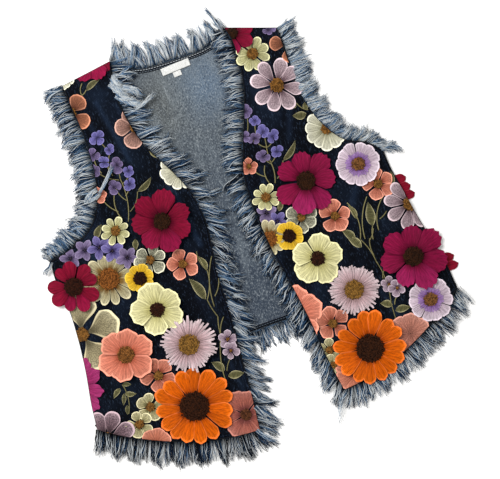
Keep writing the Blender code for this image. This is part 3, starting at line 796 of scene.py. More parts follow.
def seam_roll(points, side):
    """The roll of a front beside its side and shoulder seams: h d / w exp(1 - d / w)."""
    seam = side_edge(side, 1)[ARMPIT:]
    shoulder = [getattr(SECTIONS[0], side + "_front"), getattr(SECTIONS[0], side + "_side")]
    runs = [*zip(seam, seam[1:]), shoulder]
    away = np.min([distance_to(points, start, end) for start, end in runs], axis=0)
    return ROLL_HEIGHT * away / ROLL_WIDTH * np.exp(1 - away / ROLL_WIDTH)


def front_top(points, side):
    """Height of a front's outside: what it lies on, its wall, its roll, folds and ripples."""
    lies_on = rest_level(points) + SEAM_GAP + CLOTH
    shape = seam_roll(points, side) + folds_at(points, FRONT_FOLDS + FRONT_CREASES)
    return lies_on + shape + ripples_at(points) + RIPPLE_LIFT


def panel_bounds(side):
    """The front's inner edge, outer edge and hem, each ready to be read by interpolation."""
    inner, outer = front_edge(side, FRONT_STEPS)[::-1], side_edge(side, FRONT_STEPS)[::-1]
    hem = front_plan(side)[-1]
    hem = hem[np.argsort(hem[:, 0])]
    return inner, outer, hem


BOUNDS = {side: panel_bounds(side) for side in SIDES}


def shoulder_y(x, side):
    """Height up the plan of the shoulder seam's straight line."""
    start, end = (getattr(SECTIONS[0], side + part) for part in ("_front", "_side"))
    return start[1] + (x - start[0]) * (end[1] - start[1]) / (end[0] - start[0])


def onto_panel(points, side):
    """The nearest places on a front: first across to its edges, then along to hem or shoulder."""
    inner, outer, hem = BOUNDS[side]
    x, y = points[..., 0], points[..., 1]
    sides = [np.interp(y, line[:, 1], line[:, 0]) for line in (inner, outer)]
    x = np.clip(x, np.minimum(*sides), np.maximum(*sides))
    y = np.clip(y, np.interp(x, hem[:, 0], hem[:, 1]), shoulder_y(x, side))
    return np.stack([x, y], axis=-1)


def motif_level(points, side):
    """Height on which embroidery lies. Past the panel's edge it droops with the distance."""
    places = onto_panel(points, side)
    away = np.linalg.norm(points - places, axis=-1)
    return front_top(places, side) - DROOP * away


def grid_faces(count, rows, columns, wrap=False):
    """Quads of count grids, one after the other. A row's last point joins its first if wrapped."""
    start = np.arange(count * rows).reshape(count, rows)[:, :-1, None] * columns
    here = np.arange(columns if wrap else columns - 1)
    after = (here + 1) % columns
    corners = (start + here, start + columns + here, start + columns + after, start + after)
    return np.stack(corners, axis=-1).reshape(-1, 4)


def surface(points, faces, thread=None, petal=None, tint=None, work=(0, 0, 0)):
    """A surface from arrays of any leading shape, with plain values where none are given."""
    points = np.asarray(points, float)
    shape = points.shape[:-1]

    def filled(values, width):
        values = np.zeros(width) if values is None else np.asarray(values, float)
        return np.broadcast_to(values, (*shape, width)).reshape(-1, width)

    faces = faces if isinstance(faces, list) else [faces]
    maps = filled(thread, 2), filled(petal, 2)
    return Surface(points.reshape(-1, 3), faces, *maps, filled(tint, 3), filled(work, 3))


def joined(surfaces):
    """Several surfaces as one."""
    faces, start = [], 0
    for item in surfaces:
        faces += [block + start for block in item.faces]
        start += len(item.points)
    fields = [np.concatenate([item[i] for item in surfaces]) for i in (0, 2, 3, 4, 5)]
    return Surface(fields[0], faces, *fields[1:])


def add_piece(name, made, *materials, face_slots=None, replaces=(), slot=None):
    """Puts a surface into a mesh, in metres, and lets it ride on the waistcoat's one body."""
    mesh = bpy.data.meshes.new(name)
    loops = np.concatenate([block.ravel() for block in made.faces])
    sizes = np.concatenate([np.full(len(block), block.shape[1]) for block in made.faces])
    mesh.vertices.add(len(made.points))
    mesh.vertices.foreach_set("co", (made.points * MILLIMETRE).astype(np.float32).ravel())
    mesh.loops.add(len(loops))
    mesh.loops.foreach_set("vertex_index", loops.astype(np.int32))
    mesh.polygons.add(len(sizes))
    starts = np.concatenate([[0], np.cumsum(sizes)[:-1]])
    mesh.polygons.foreach_set("loop_start", starts.astype(np.int32))
    if face_slots is not None:
        mesh.polygons.foreach_set("material_index", face_slots.astype(np.int32))
    mesh.update(calc_edges=True)
    for layer, values in (("Thread", made.thread), ("Petal", made.petal)):
        uv = mesh.uv_layers.new(name=layer)
        uv.data.foreach_set("uv", values[loops].astype(np.float32).ravel())
    for layer, values in (("Tint", made.tint), ("Work", made.work)):
        attribute = mesh.attributes.new(layer, "FLOAT_COLOR", "POINT")
        values = np.hstack([values, np.ones((len(values), 1))])
        attribute.data.foreach_set("color", values.astype(np.float32).ravel())
    for material in materials:
        mesh.materials.append(material)
    mesh.shade_smooth()
    piece = bpy.data.objects.new(name, mesh)
    bpy.context.scene.collection.objects.link(piece)
    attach(piece, BODY)
    if replaces:
        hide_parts(*replaces)
    return piece


def slab(top, bottom, flipped):
    """A closed wall: a top grid, a bottom grid, and a rim between them."""
    rows, columns = top.shape[:2]
    upper = grid_faces(1, rows, columns)
    lower = grid_faces(1, rows, columns)[:, ::-1] + rows * columns
    index = np.arange(rows * columns).reshape(rows, columns)
    rim = np.concatenate([index[0], index[1:, -1], index[-1, -2::-1], index[-2:0:-1, 0]])
    after = np.roll(rim, -1)
    wall = np.stack([rim, after, after + rows * columns, rim + rows * columns], axis=1)
    faces = np.vstack([upper, lower, wall])
    if flipped:
        faces = faces[:, ::-1]
    return surface(np.concatenate([top.reshape(-1, 3), bottom.reshape(-1, 3)]), faces)


def tubes(paths, radius, sides, tint=None, thread_length=None):
    """Tubes along paths of shape (count, points, 3): a ring of sides stands square to each path."""
    paths = np.asarray(paths, float)
    count, points = paths.shape[:2]
    along = np.gradient(paths, axis=1)
    along /= np.linalg.norm(along, axis=-1, keepdims=True) + 1e-9
    across = np.cross(along, (0, 0, 1))
    across /= np.linalg.norm(across, axis=-1, keepdims=True) + 1e-9
    up = np.cross(across, along)
    turn = 2 * np.pi * np.arange(sides) / sides
    ring = (
        np.cos(turn)[:, None] * across[:, :, None] + np.sin(turn)[:, None] * up[:, :, None]
    )
    radius = np.broadcast_to(radius, (count, points))
    shape = paths[:, :, None] + radius[:, :, None, None] * ring
    first = np.arange(count)[:, None] * points * sides + np.arange(sides)
    last = (first + (points - 1) * sides)[:, ::-1]
    faces = [grid_faces(count, points, sides, wrap=True), first, last]
    length = np.linspace(0, 1, points) * (thread_length or 1)
    thread = np.stack(
        np.broadcast_arrays(turn[None, None] / 2, length[None, :, None] + 0 * turn), axis=-1
    )
    thread = np.broadcast_to(thread, (count, points, sides, 2))
    if tint is not None:
        tint = np.broadcast_to(np.asarray(tint, float), (count, points, 3))[:, :, None]
        tint = np.broadcast_to(tint, (count, points, sides, 3))
    return surface(shape, faces, thread=thread, tint=tint)


def add_node(tree, kind, inputs=(), output=0, **settings):
    """Adds a shader node and gives one of its outputs. Inputs are a list in the node's own order,
    or a dictionary. Each is a value, or the output of another node, which is linked."""
    made = tree.nodes.new("ShaderNode" + kind)
    for name, value in settings.items():
        setattr(made, name, value)
    keyed = inputs if isinstance(inputs, dict) else dict(enumerate(inputs))
    for key, value in keyed.items():
        if isinstance(value, bpy.types.NodeSocket):
            tree.links.new(value, made.inputs[key])
        else:
            made.inputs[key].default_value = value
    return made.outputs[output]


def new_material(name, roughness, specular):
    """A material with what is the same all over it, and add_node for its own tree."""
    material = bpy.data.materials.new(name)
    material.use_nodes = True
    inputs = material.node_tree.nodes["Principled BSDF"].inputs
    inputs["Roughness"].default_value = roughness
    inputs["Specular IOR Level"].default_value = specular
    return material, partial(add_node, material.node_tree)


def finished(material, colour, relief=None, depth=0):
    """Gives a material its colour and, where it has one, its relief of that many millimetres."""
    tree = material.node_tree
    inputs = tree.nodes["Principled BSDF"].inputs
    tree.links.new(colour, inputs["Base Color"])
    if relief is not None:
        raised = add_node(tree, "Bump", {"Height": relief, "Distance": depth * MILLIMETRE})
        tree.links.new(raised, inputs["Normal"])
    return material


def rgba(hex_colour):
    return (*linear(hex_colour), 1)


def per(millimetres):
    """The scale at which a texture on Object coordinates has features of that many millimetres."""
    return 1 / (millimetres * MILLIMETRE)


def placed(node, degrees, flow=1):
    """Object coordinates turned about Z. With a flow under 1 a pattern is drawn out along Y."""
    turn = (0, 0, math.radians(degrees))
    place = node("TexCoord", output="Object")
    return node("Mapping", {"Vector": place, "Rotation": turn, "Scale": (1, flow, 1)})


def layered(node, base, *rows):
    """Colours laid over a base. A row is a pattern, the value at which its colour starts to show,
    the value at which it is full, the share of it that is then laid on, and the colour."""
    for pattern, start, full, share, colour in rows:
        amount = node("MapRange", [pattern, start, full, 0, share])
        base = node("Mix", {0: amount, 6: base, 7: rgba(colour)}, 2, data_type="RGBA")
    return base


def shaded(node, base, pattern, start, full, dark):
    """A base colour times a shade, which goes from dark to white as a pattern rises."""
    shade = layered(node, rgba(dark), (pattern, start, full, 1, "ffffff"))
    return node("Mix", {0: 1, 6: base, 7: shade}, 2, data_type="RGBA", blend_type="MULTIPLY")


@cache
def dark_denim():
    """Indigo cotton twill, rope dyed and barely washed: matt, near black, blue where it rubs."""
    material, node = new_material("indigo cotton twill", roughness=0.85, specular=0.04)
    lines = node("TexWave", [placed(node, TWILL_ANGLE), WAVE * per(TWILL_SPACING), 1.2], "Fac")
    fade = {"Vector": placed(node, 20, 0.6), "Scale": per(38), "Detail": 5, "Roughness": 0.55}
    fade = node("TexNoise", fade, "Fac")
    specks = {"Vector": placed(node, 20, 0.35), "Scale": per(1.8), "Roughness": 0.55}
    specks = node("TexNoise", specks, "Fac")
    rubbed = node("SeparateColor", [node("Attribute", output="Color", attribute_name="Work")], 2)
    faded = node("MapRange", [fade, 0.48, 0.76, 0, 0.7])
    faded = node("Math", [faded, rubbed], operation="ADD")
    base = layered(
        node, rgba(DARK_DENIM), (faded, 0, 1, 1, DENIM_FADE), (specks, 0.56, 0.74, 0.55, "3b4a60")
    )
    relief = node("Math", [lines, specks], operation="ADD")
    return finished(material, shaded(node, base, lines, 0.1, 0.9, "8c8c8c"), relief, 0.25)


@cache
def washed_denim():
    """The wrong side of the twill after a stone wash: pale weft flecks over grey indigo. It is
    browner down the middle, and bluer at the sides, at one shoulder and towards the hem."""
    material, node = new_material("stone-washed twill", roughness=0.9, specular=0.12)
    lines = node("TexWave", [placed(node, -TWILL_ANGLE), WAVE * per(TWILL_SPACING), 1.6], "Fac")
    noises = []
    for degrees, flow, size, detail, roughness in (
        (70, 0.5, 60, 5, 0.6),
        (12, 0.6, 1.7, 3, 0.75),
        (10, 0.35, 26, 4, 0.6),
    ):
        inputs = {"Vector": placed(node, degrees, flow), "Scale": per(size)}
        inputs |= {"Detail": detail, "Roughness": roughness}
        noises.append(node("TexNoise", inputs, "Fac"))
    clouds, flecks, rubbed = noises
    place = node("TexCoord", output="Object")
    x, y, _ = node("SeparateXYZ", [place]).node.outputs
    aside = node("MapRange", [node("Math", [x], operation="ABSOLUTE"), 0.02, 0.09])
    below = node("MapRange", [y, 0.19, -0.07])
    bluer = node("Math", [aside, below], operation="MAXIMUM")
    bluer = node("Math", [bluer, clouds], operation="ADD")
    base = layered(node, rgba(WASHED_DENIM), (bluer, 0.45, 1.45, 1, WASHED_DENIM_BLUE))
    for spot, colour in WASHED_SPOTS:
        away = node("VectorMath", [place, spot], "Value", operation="DISTANCE")
        base = layered(node, base, (away, 0.065, 0.01, 0.75, colour))
    darker = node("Math", [below, clouds], operation="ADD")
    base = layered(
        node, base, (darker, 0.6, 1.5, 0.7, "39424e"),
        (rubbed, 0.52, 0.74, 0.55, "8d979e"), (rubbed, 0.46, 0.28, 0.45, "3f4854"),
        (flecks, 0.53, 0.68, 0.8, "a9b1b5"), (flecks, 0.48, 0.33, 0.85, "2b323d"),
    )
    relief = node("Math", [lines, flecks], operation="ADD")
    return finished(material, shaded(node, base, lines, 0.1, 0.9, "a8a8a8"), relief, 0.35)


@cache
def frayed_threads():
    """Unravelled cotton yarn, indigo warp and white weft: matt and hairy."""
    material, node = new_material("unravelled cotton yarn", roughness=0.9, specular=0.1)
    tint = node("Attribute", output="Color", attribute_name="Tint")
    along = node("UVMap", uv_map="Thread")
    ply = node("TexNoise", {"Vector": along, "Scale": 1 / 0.9, "Roughness": 0.55}, "Fac")
    return finished(material, shaded(node, tint, ply, 0.3, 0.7, "b4b4b4"))


@cache
def frayed_weave():
    """The woven foot of the trim, where the yarns still cross: navy warp and a little weft."""
    material, node = new_material("loose denim weave", roughness=0.9, specular=0.1)
    along = node("UVMap", uv_map="Thread")
    warp = node("TexWave", [along, WAVE / 1.8, 2.5], "Fac")
    dye = {"Vector": along, "Scale": 1 / 4.2, "Detail": 3, "Roughness": 0.55}
    dye = node("TexNoise", dye, "Fac")
    colour = layered(
        node, rgba("0c121d"), (dye, 0.35, 0.65, 1, "1e2f47"), (warp, 0.7, 0.95, 0.45, "7c97ad")
    )
    return finished(material, colour, warp, 0.3)


@cache
def embroidery_thread():
    """Rayon machine embroidery: a soft shine along each stitch, laid from the eye to the tip.
    Open work shows the dark cloth between its stitches, and a paler cord outlines it."""
    material, node = new_material("rayon embroidery thread", roughness=0.6, specular=0.07)
    tint = node("Attribute", output="Color", attribute_name="Tint")
    work = node("Attribute", output="Color", attribute_name="Work")
    lace, rim, _ = node("SeparateColor", [work]).node.outputs
    across, out, _ = node("SeparateXYZ", [node("UVMap", uv_map="Petal")]).node.outputs
    along = node("UVMap", uv_map="Thread")
    drawn_out = node("Mapping", {"Vector": along, "Scale": (1, 0.10, 1)})
    stitches = node("TexWave", [drawn_out, WAVE / THREAD_SPACING, 2.5, 3], "Fac")
    streaks = {"Vector": drawn_out, "Scale": 1 / 1.5, "Detail": 3, "Roughness": 0.65}
    streaks = node("TexNoise", streaks, "Fac")
    loops = node("TexNoise", {"Vector": along, "Scale": 1 / 1.9, "Roughness": 0.6}, "Fac")

    colour = shaded(node, tint, streaks, 0.32, 0.68, "b0b0b0")
    rgb = {"output": 2, "data_type": "RGBA"}
    # Painted shade: the thread is darker in the grooves between the stitches, where the relief
    # dips.
    dark = node("Mix", {0: 1, 6: tint, 7: rgba("787470")}, blend_type="MULTIPLY", **rgb)
    stitch_groove_shade = node("MapRange", [stitches, 0.42, 0.12, 0, 0.42])
    colour = node("Mix", {0: stitch_groove_shade, 6: colour, 7: dark}, **rgb)
    openings = node("MapRange", [loops, 0.54, 0.44])
    openings = node("Math", [openings, lace], operation="MULTIPLY")
    colour = node("Mix", {0: openings, 6: colour, 7: rgba("14161d")}, **rgb)

    sides = node("MapRange", [node("Math", [across], operation="ABSOLUTE"), 0.82, 0.92])
    outline = node("Math", [sides, node("MapRange", [out, 0.90, 0.95])], operation="MAXIMUM")
    cord = node("Math", [outline, rim], operation="MULTIPLY")
    pale = node("Mix", {0: 0.45, 6: tint, 7: tint}, blend_type="ADD", **rgb)
    pale = node("Mix", {0: 0.06, 6: pale, 7: rgba("fff4e6")}, **rgb)
    colour = node("Mix", {0: cord, 6: colour, 7: pale}, **rgb)
    relief = node("Math", [stitches, 0.6, streaks], operation="MULTIPLY_ADD")
    return finished(material, colour, node("Math", [relief, cord], operation="ADD"), 0.5)


@cache
def sewing_thread():
    """Spun polyester sewing thread and knots: round, slightly shiny, twisted."""
    material, node = new_material("spun sewing thread", roughness=0.65, specular=0.12)
    tint = node("Attribute", output="Color", attribute_name="Tint")
    place = node("TexCoord", output="Object")
    grain = node("TexNoise", {"Vector": place, "Scale": per(0.8), "Roughness": 0.55}, "Fac")
    return finished(material, shaded(node, tint, grain, 0.3, 0.7, "9c9c9c"), grain, 0.2)


@cache
def seam_tape():
    """Black overlocked seam tape: a dense knitted edge, nearly without shine."""
    material, node = new_material("overlocked seam tape", roughness=0.85, specular=0.05)
    loops = node("TexWave", [node("UVMap", uv_map="Thread"), WAVE / 2.6, 3], "Fac")
    colour = layered(node, rgba("05070a"), (loops, 0.3, 0.9, 1, "141922"))
    return finished(material, colour, loops, 0.35)


@cache
def woven_tape():
    """White damask label tape: fine satin weave, smooth, with a faint thread line."""
    material, node = new_material("woven satin tape", roughness=0.5, specular=0.3)
    lines = node("TexWave", [placed(node, 90 + LABEL_TURN), WAVE * per(0.9), 0.4, 0], "Fac")
    place = node("TexCoord", output="Object")
    grain = node("TexNoise", {"Vector": place, "Scale": per(1.2), "Roughness": 0.55}, "Fac")
    colour = layered(node, rgba("b9b9b7"), (lines, 0.2, 0.9, 1, "f1f1ee"))
    return finished(material, shaded(node, colour, grain, 0.35, 0.7, "d8d8d6"), lines, 0.08)


@cache
def studio_paper():
    """Matt white background paper, in two whites so close that they hardly show."""
    material, node = new_material("matt studio paper", roughness=0.95, specular=0.1)
    place = node("TexCoord", output="Object")
    clouds = node("TexNoise", {"Vector": place, "Scale": per(900), "Roughness": 0.55}, "Fac")
    return finished(material, layered(node, rgba("f4f3f1"), (clouds, 0.3, 0.7, 1, "f7f6f4")))


def with_height(plan, height):
    return np.concatenate([plan, np.asarray(height, float)[..., None]], axis=-1)


def polygon_area(outline):
    """Shoelace formula, in square metres."""
    x, y = outline[:, 0] * MILLIMETRE, outline[:, 1] * MILLIMETRE
    return abs(np.sum(x * np.roll(y, -1) - y * np.roll(x, -1))) / 2


def cut_size(plan):
    """Width, length and area of a panel's flat cut, in metres and square metres."""
    size = (plan.reshape(-1, 2).max(axis=0) - plan.reshape(-1, 2).min(axis=0)) * MILLIMETRE
    outline = np.concatenate([plan[0], plan[1:, -1], plan[-1, -2::-1], plan[-2:0:-1, 0]])
    return (float(size[0]), float(size[1])), float(polygon_area(outline))


def build_fronts():
    """Both fronts, each with the width, length and area of its cut."""
    made = []
    for side in SIDES:
        plan = front_plan(side)
        top = with_height(plan, front_top(plan, side))
        bottom = top - (0, 0, CLOTH)
        shell = slab(top, bottom, side == "left")
        wear = 0.7 * folds_at(plan, FRONT_CREASES) + 0.12 * folds_at(plan, FRONT_FOLDS)
        work = np.zeros((2, *wear.shape, 3))
        work[..., 2] = np.clip(wear, 0, 1)
        shell = shell._replace(work=work.reshape(-1, 3))
        piece = add_piece(
            "front_panel_" + side, shell, dark_denim(),
            replaces=["front_" + side], slot="dark_denim",
        )
        made.append((piece, *cut_size(plan)))
    return made


def build_back():
    """The back, with the width, length and area of its cut. Its inside is washed."""
    plan = back_plan()
    top = with_height(plan, back_top(plan))
    bottom = with_height(plan, np.zeros(plan.shape[:-1]))
    shell = slab(top, bottom, False)
    inside = (len(plan) - 1) * (plan.shape[1] - 1)
    slots = np.ones(len(shell.faces[0]))
    slots[:inside] = 0
    piece = add_piece(
        "back_cloth", shell, washed_denim(), dark_denim(),
        face_slots=slots, replaces=["back_panel"], slot="washed_denim",
    )
    return (piece, *cut_size(plan))


def outward_of(edge, turn):
    """The unit normal of a plan edge at each point, to its left where turn is 1."""
    along = np.gradient(edge, axis=0)
    along /= np.linalg.norm(along, axis=1)[:, None] + 1e-9
    return turn * np.stack([-along[:, 1], along[:, 0]], axis=1)


def over_back(points):
    """Where an upper trim lies: clear of the lower layer, or just above the bare surface."""
    below = back_hem_y(points[..., 0]) - points[..., 1]
    covered = 1 - ease(below, *BACK_HEM_FALL)
    return np.maximum(rest_level(points), LOWER_LAYER_TOP * covered) + SEAM_GAP


def on_surface(points):
    return np.full(points.shape[:-1], SEAM_GAP)


Locks = namedtuple("Locks", "root heading length bend hook half lie loft tone curl")


def lock_threads(locks, each, under, random, settings):
    """Threads of each lock. At x along the lock, its heading has turned by bend x + hook x^3. A
    thread keeps its place across the lock, which narrows by sin(pi x) in the middle, and waves
    a little. It lies on what is under it, higher in the middle of the lock and of its length."""
    lock = np.repeat(np.arange(len(locks.root)), each)
    count = len(lock)
    own = Locks(*[field[lock] for field in locks])
    side = random.uniform(-1, 1, count)
    pale = random.uniform(0, 1, count) > 1 - WHITE_THREADS
    reach = random.uniform(0.70, 1.06, count)
    t = np.linspace(0, 1, THREAD_RINGS)[None]
    x = t * reach[:, None]
    turned = own.heading[:, None] + own.bend[:, None] * x + own.hook[:, None] * x**3
    ahead = np.stack([np.cos(turned), np.sin(turned)], axis=-1)
    aside = np.stack([-np.sin(turned), np.cos(turned)], axis=-1)
    run = ahead * (own.length * reach / (THREAD_RINGS - 1))[:, None, None]
    waves = random.uniform(0.6, 1.6, count)[:, None]
    phase = random.uniform(0, 2 * np.pi, count)[:, None]
    wave = settings.curl * own.curl[:, None] * t * np.sin(2 * np.pi * waves * t + phase)
    across = (side * own.half)[:, None] * (1 - 0.25 * np.sin(np.pi * x)) + wave
    plan = own.root[:, None] + np.cumsum(run, axis=1) - run + aside * across[..., None]
    crown = 1.2 * (1 - side**2) + 1.0 * pale + random.uniform(0, 0.5, count)
    crown = crown * np.minimum(own.loft.max() / 3, 1)
    arch = (own.loft + crown)[:, None] * np.sin(np.pi * (0.08 + 0.80 * x))
    height = under(plan) + own.lie[:, None] + arch + settings.thread_width / 2
    # Painted shade and light: across each lock the yarn goes darker on one side and paler on the
    # other, on top of its random tone.
    tone = 0.34 + 0.22 * side + own.tone + random.normal(0, 0.21, count)
    # The roots get painted shade, less of it where the trim's yarn is paler.
    tint = fray_tint(np.where(pale, 0.92, tone), x, np.clip(0.30 + 1.7 * own.tone, 0.16, 0.8))
    taper = 1 - 0.4 * t**2
    width = settings.thread_width * random.uniform(0.75, 1.3, (count, 1)) * taper
    return tubes(with_height(plan, height), width / 2, 3, tint, 30)


def fray_tint(tone, along, root):
    """Yarn from navy at tone 0 to white at tone 1. Root is the share of light that its root gets,
    as painted shade, and its tip is darker."""
    palette = np.array([linear(colour) for colour in FRAY_COLOURS])
    stops = np.linspace(0, 1, len(palette))
    tone = np.clip(tone, 0, 1)
    colour = np.stack([np.interp(tone, stops, palette[:, i]) for i in range(3)], axis=-1)
    lit = root[:, None] + (1 - root[:, None]) * ease(along, 0, 0.45)
    shade = lit * (1 - 0.22 * ease(along, 0.7, 1.05))
    return colour[:, None] * shade[..., None]


def sway(count, random):
    """Neighbouring locks lean alike: two sine waves along the row, and a little chance."""
    row = np.arange(count)
    slow = np.sin(2 * np.pi * row / 9.3 + random.uniform(0, 6))
    quick = 0.6 * np.sin(2 * np.pi * row / 4.1 + random.uniform(0, 6))
    return slow + quick + 0.7 * random.uniform(-1, 1, count)


def lengths_along(line):
    return np.concatenate([[0], np.cumsum(np.linalg.norm(np.diff(line, axis=0), axis=1))])


def trim_threads(trim, edge, turn, under, settings):
    """Locks of loose threads side by side along an edge."""
    random = np.random.default_rng(trim.seed)
    spans = lengths_along(edge)
    count = int(spans[-1] / LOCK_PITCH)
    place = (np.arange(count) + random.uniform(0.1, 0.9, count)) / count
    at = place * spans[-1]
    outward = outward_of(edge, turn)
    facing = np.interp(at, spans, np.unwrap(np.arctan2(outward[:, 1], outward[:, 0])))
    base = np.stack([np.interp(at, spans, edge[:, axis]) for axis in (0, 1)], axis=1)
    fan = np.interp(place, FAN_STOPS, trim.fan)
    full = np.interp(place, FAN_STOPS, trim.full)
    start = SEAM_GAP + random.uniform(0.1, 0.6, count) * STRIP_WIDTH
    upper = random.uniform(0, 1, count)
    locks = Locks(
        root=base + np.stack([np.cos(facing), np.sin(facing)], axis=1) * start[:, None],
        heading=facing + np.radians(fan + trim.lean * sway(count, random)),
        length=full * (trim.length + 0.6 * trim.spread * sway(count, random)) - 0.35 * STRIP_WIDTH,
        bend=np.radians(0.9 * trim.lean * sway(count, random)),
        hook=np.radians(trim.hook * random.uniform(-0.3, 1.4, count)),
        half=LOCK_HALF_WIDTH * random.uniform(0.7, 1.3, count),
        lie=trim.lie + 0.2 * trim.loft * upper,
        loft=trim.loft * upper,
        # Tone is random, with painted shade on the low locks and painted light on the high ones.
        tone=0.2 * random.uniform(-1, 1, count) + 0.16 * (upper - 0.5) + trim.tone,
        curl=random.uniform(0.5, 1.4, count),
    )
    each = round(settings.threads_per_mm * spans[-1] / count)
    return lock_threads(locks, each, under, random, settings)


def trim_strip(edge, turn, under):
    """The woven foot of a trim: a low band beside the edge, closed underneath."""
    outward = outward_of(edge, turn)
    spans = lengths_along(edge)
    across = np.linspace(0, 1, STRIP_COLUMNS)
    offset = SEAM_GAP + across * STRIP_WIDTH
    plan = edge[:, None] + outward[:, None] * offset[None, :, None]
    low = with_height(plan, under(plan))
    high = low + np.array([0, 0, 1]) * (0.5 + 0.5 * np.sin(np.pi * across))[None, :, None]
    made = slab(high, low, turn == -1)
    thread = np.stack(np.broadcast_arrays(spans[:, None], offset[None]), axis=-1).reshape(-1, 2)
    return made._replace(thread=np.tile(thread, (2, 1)))


def trim_edges():
    """Each trim's panel edge, which way it faces, and what it lies on."""
    edges = {}
    for side, turn in (("left", 1), ("right", -1)):
        plan = front_plan(side)
        armhole = slice(0, ARMPIT * FRONT_STEPS + 1)
        edges[side + " edge"] = (plan[:, 0], turn, over_back)
        edges[side + " armhole"] = (plan[armhole, -1], -turn, over_back)
        edges[side + " back armhole"] = (plan[armhole, -1], -turn, on_surface)
        edges[side + " hem"] = (plan[-1], turn, over_back)
    back = back_plan()
    neck = slice(BACK_SHOULDER_COLUMNS, BACK_SHOULDER_COLUMNS + BACK_NECK_COLUMNS + 1)
    edges["back neck"] = (back[0, neck], 1, on_surface)
    edges["back hem"] = (back[-1], -1, on_surface)
    return edges


def build_trims(settings):
    for key, (edge, turn, under) in trim_edges().items():
        trim = TRIMS[key]
        strip = trim_strip(edge, turn, under)
        threads = trim_threads(trim, edge, turn, under, settings)
        both = joined([strip, threads])
        slots = np.zeros(sum(len(block) for block in both.faces))
        slots[: len(strip.faces[0])] = 1
        add_piece(
            trim.name.replace("fringe", "fray"), both, frayed_threads(), frayed_weave(),
            face_slots=slots, replaces=[trim.name], slot="frayed_denim",
        )


def build_wisps(settings):
    """A few long locks that have come loose and lie over the panels."""
    parts = []
    for i, wisp in enumerate(WISPS):
        random = np.random.default_rng(WISP_SEED + i)
        lock = Locks(
            root=np.array([[wisp.x, wisp.y]]),
            heading=np.radians([wisp.heading]),
            length=np.array([wisp.length]),
            bend=np.radians([wisp.bend]),
            hook=np.radians([0.6 * wisp.bend]),
            half=np.array([wisp.half]),
            lie=np.array([wisp.lie]),
            loft=np.array([2.0]),
            tone=np.array([wisp.tone]),
            curl=np.array([0.55 * wisp.half]),
        )
        parts.append(lock_threads(lock, wisp.count, on_surface, random, settings))
    add_piece("loose_threads", joined(parts), frayed_threads(), slot="frayed_denim")


def side_of(x):
    return SIDES[int(x > 0)]


def petal_surface(kind, flower, level, whorl, random):
    """One whorl of petals. With u from the eye to the tip and v across, a petal's half angle is
    (pi / petals) spread (foot + (1 - foot) sin(pi/2 u / belly)) v. Its tip stands at
    1 - round |v|^power + frill cos(teeth pi v), and u scales that evenly from the eye out."""
    count = kind.petals // kind.whorls
    fine = count >= FINE_PETAL_COUNT
    rows = FINE_PETAL_ROWS if fine else PETAL_ROWS
    columns = LARGE_PETAL_COLUMNS if flower.size > LARGE_FLOWER else PETAL_COLUMNS
    columns = FINE_PETAL_COLUMNS if fine else columns
    u = np.linspace(0, 1, rows)[None, :, None]
    v = np.linspace(-1, 1, columns)[None, None, :]
    v = v + 0.16 * np.sin(np.pi * v)
    each = np.arange(count)[:, None, None]
    own = random.uniform(-1, 1, (7, count, 1, 1))
    turned = 2 * np.pi * (each + whorl / kind.whorls + 0.12 * own[0]) / count
    axis = math.radians(flower.turn) + turned
    full = np.sin(np.pi / 2 * np.minimum(u / kind.belly, 1))
    half = np.pi / count * kind.spread * (kind.foot + (1 - kind.foot) * full)
    half = half * (1 + 0.10 * own[6])
    tip = 1 - kind.round * np.abs(v) ** kind.power
    tip = tip + kind.frill * np.cos(kind.teeth * np.pi * v + own[1]) * (1 - 0.4 * np.abs(v))
    tip = tip * (1 + kind.uneven * own[2]) * (1 - 0.06 * whorl)
    reach = flower.size / 2 * (kind.start + (tip - kind.start) * u)
    angle = axis + half * v
    plan = np.stack([flower.x + reach * np.cos(angle), flower.y + reach * np.sin(angle)], axis=-1)
    dome = kind.cup * (1 - v**2) * np.sin(np.pi * (0.12 + 0.70 * u))
    edge_roll = 0.35 * kind.rim * np.exp(-(((np.maximum(np.abs(v), u) - 0.93) / 0.08) ** 2))
    curl = kind.curl * (0.5 + 0.5 * own[3]) * u**3
    wave = 0.5 * kind.curl * u**2 * np.cos(kind.teeth * np.pi * v + own[1])
    fold = kind.tilt * v * u + kind.step * (each % 3)
    relief = dome + edge_roll + curl + wave + fold + 0.35 * (kind.whorls - 1 - whorl)
    height = motif_level(plan, side_of(flower.x)) + level + relief
    tint = petal_tint(kind, axis, u, v, own)
    middle = np.pi / count * 0.6 * flower.size / 2
    thread = np.stack(np.broadcast_arrays(v * middle, 0.5 * flower.size * u + 7.0 * each), axis=-1)
    petal = np.stack(np.broadcast_arrays(v + 0 * each, u), axis=-1)
    work = (kind.lace, kind.rim, 0)
    return surface(
        with_height(plan, height), grid_faces(count, rows, columns), thread, petal, tint, work
    )


def petal_tint(kind, axis, u, v, own):
    """Inner colour at the eye, outer colour beyond the blush, and half of the edge colour at the
    tip. Petals that point down the waistcoat take the flush colour, and sides are in shade."""
    inner, outer, edge = (np.array(linear(c)) for c in (kind.inner, kind.outer, kind.edge))
    to_outer = ease(u + 0.06 * own[4], *kind.blush)[..., None]
    to_edge = ease(u, 0.55, 1.0)[..., None] * 0.6
    tint = inner * (1 - to_outer) + outer * to_outer
    tint = tint * (1 - to_edge) + edge * to_edge
    if kind.flush:
        down = np.clip(np.cos(axis + math.radians(105)), 0, 1)[..., None] ** 4
        share = 0.8 * down * ease(u, 0.2, 0.6)[..., None]
        tint = tint * (1 - share) + np.array(linear(kind.flush)) * share
    side = 1 - 0.30 * np.abs(v[..., None]) ** 6
    return tint * side * (1 + 0.12 * own[5][..., None])


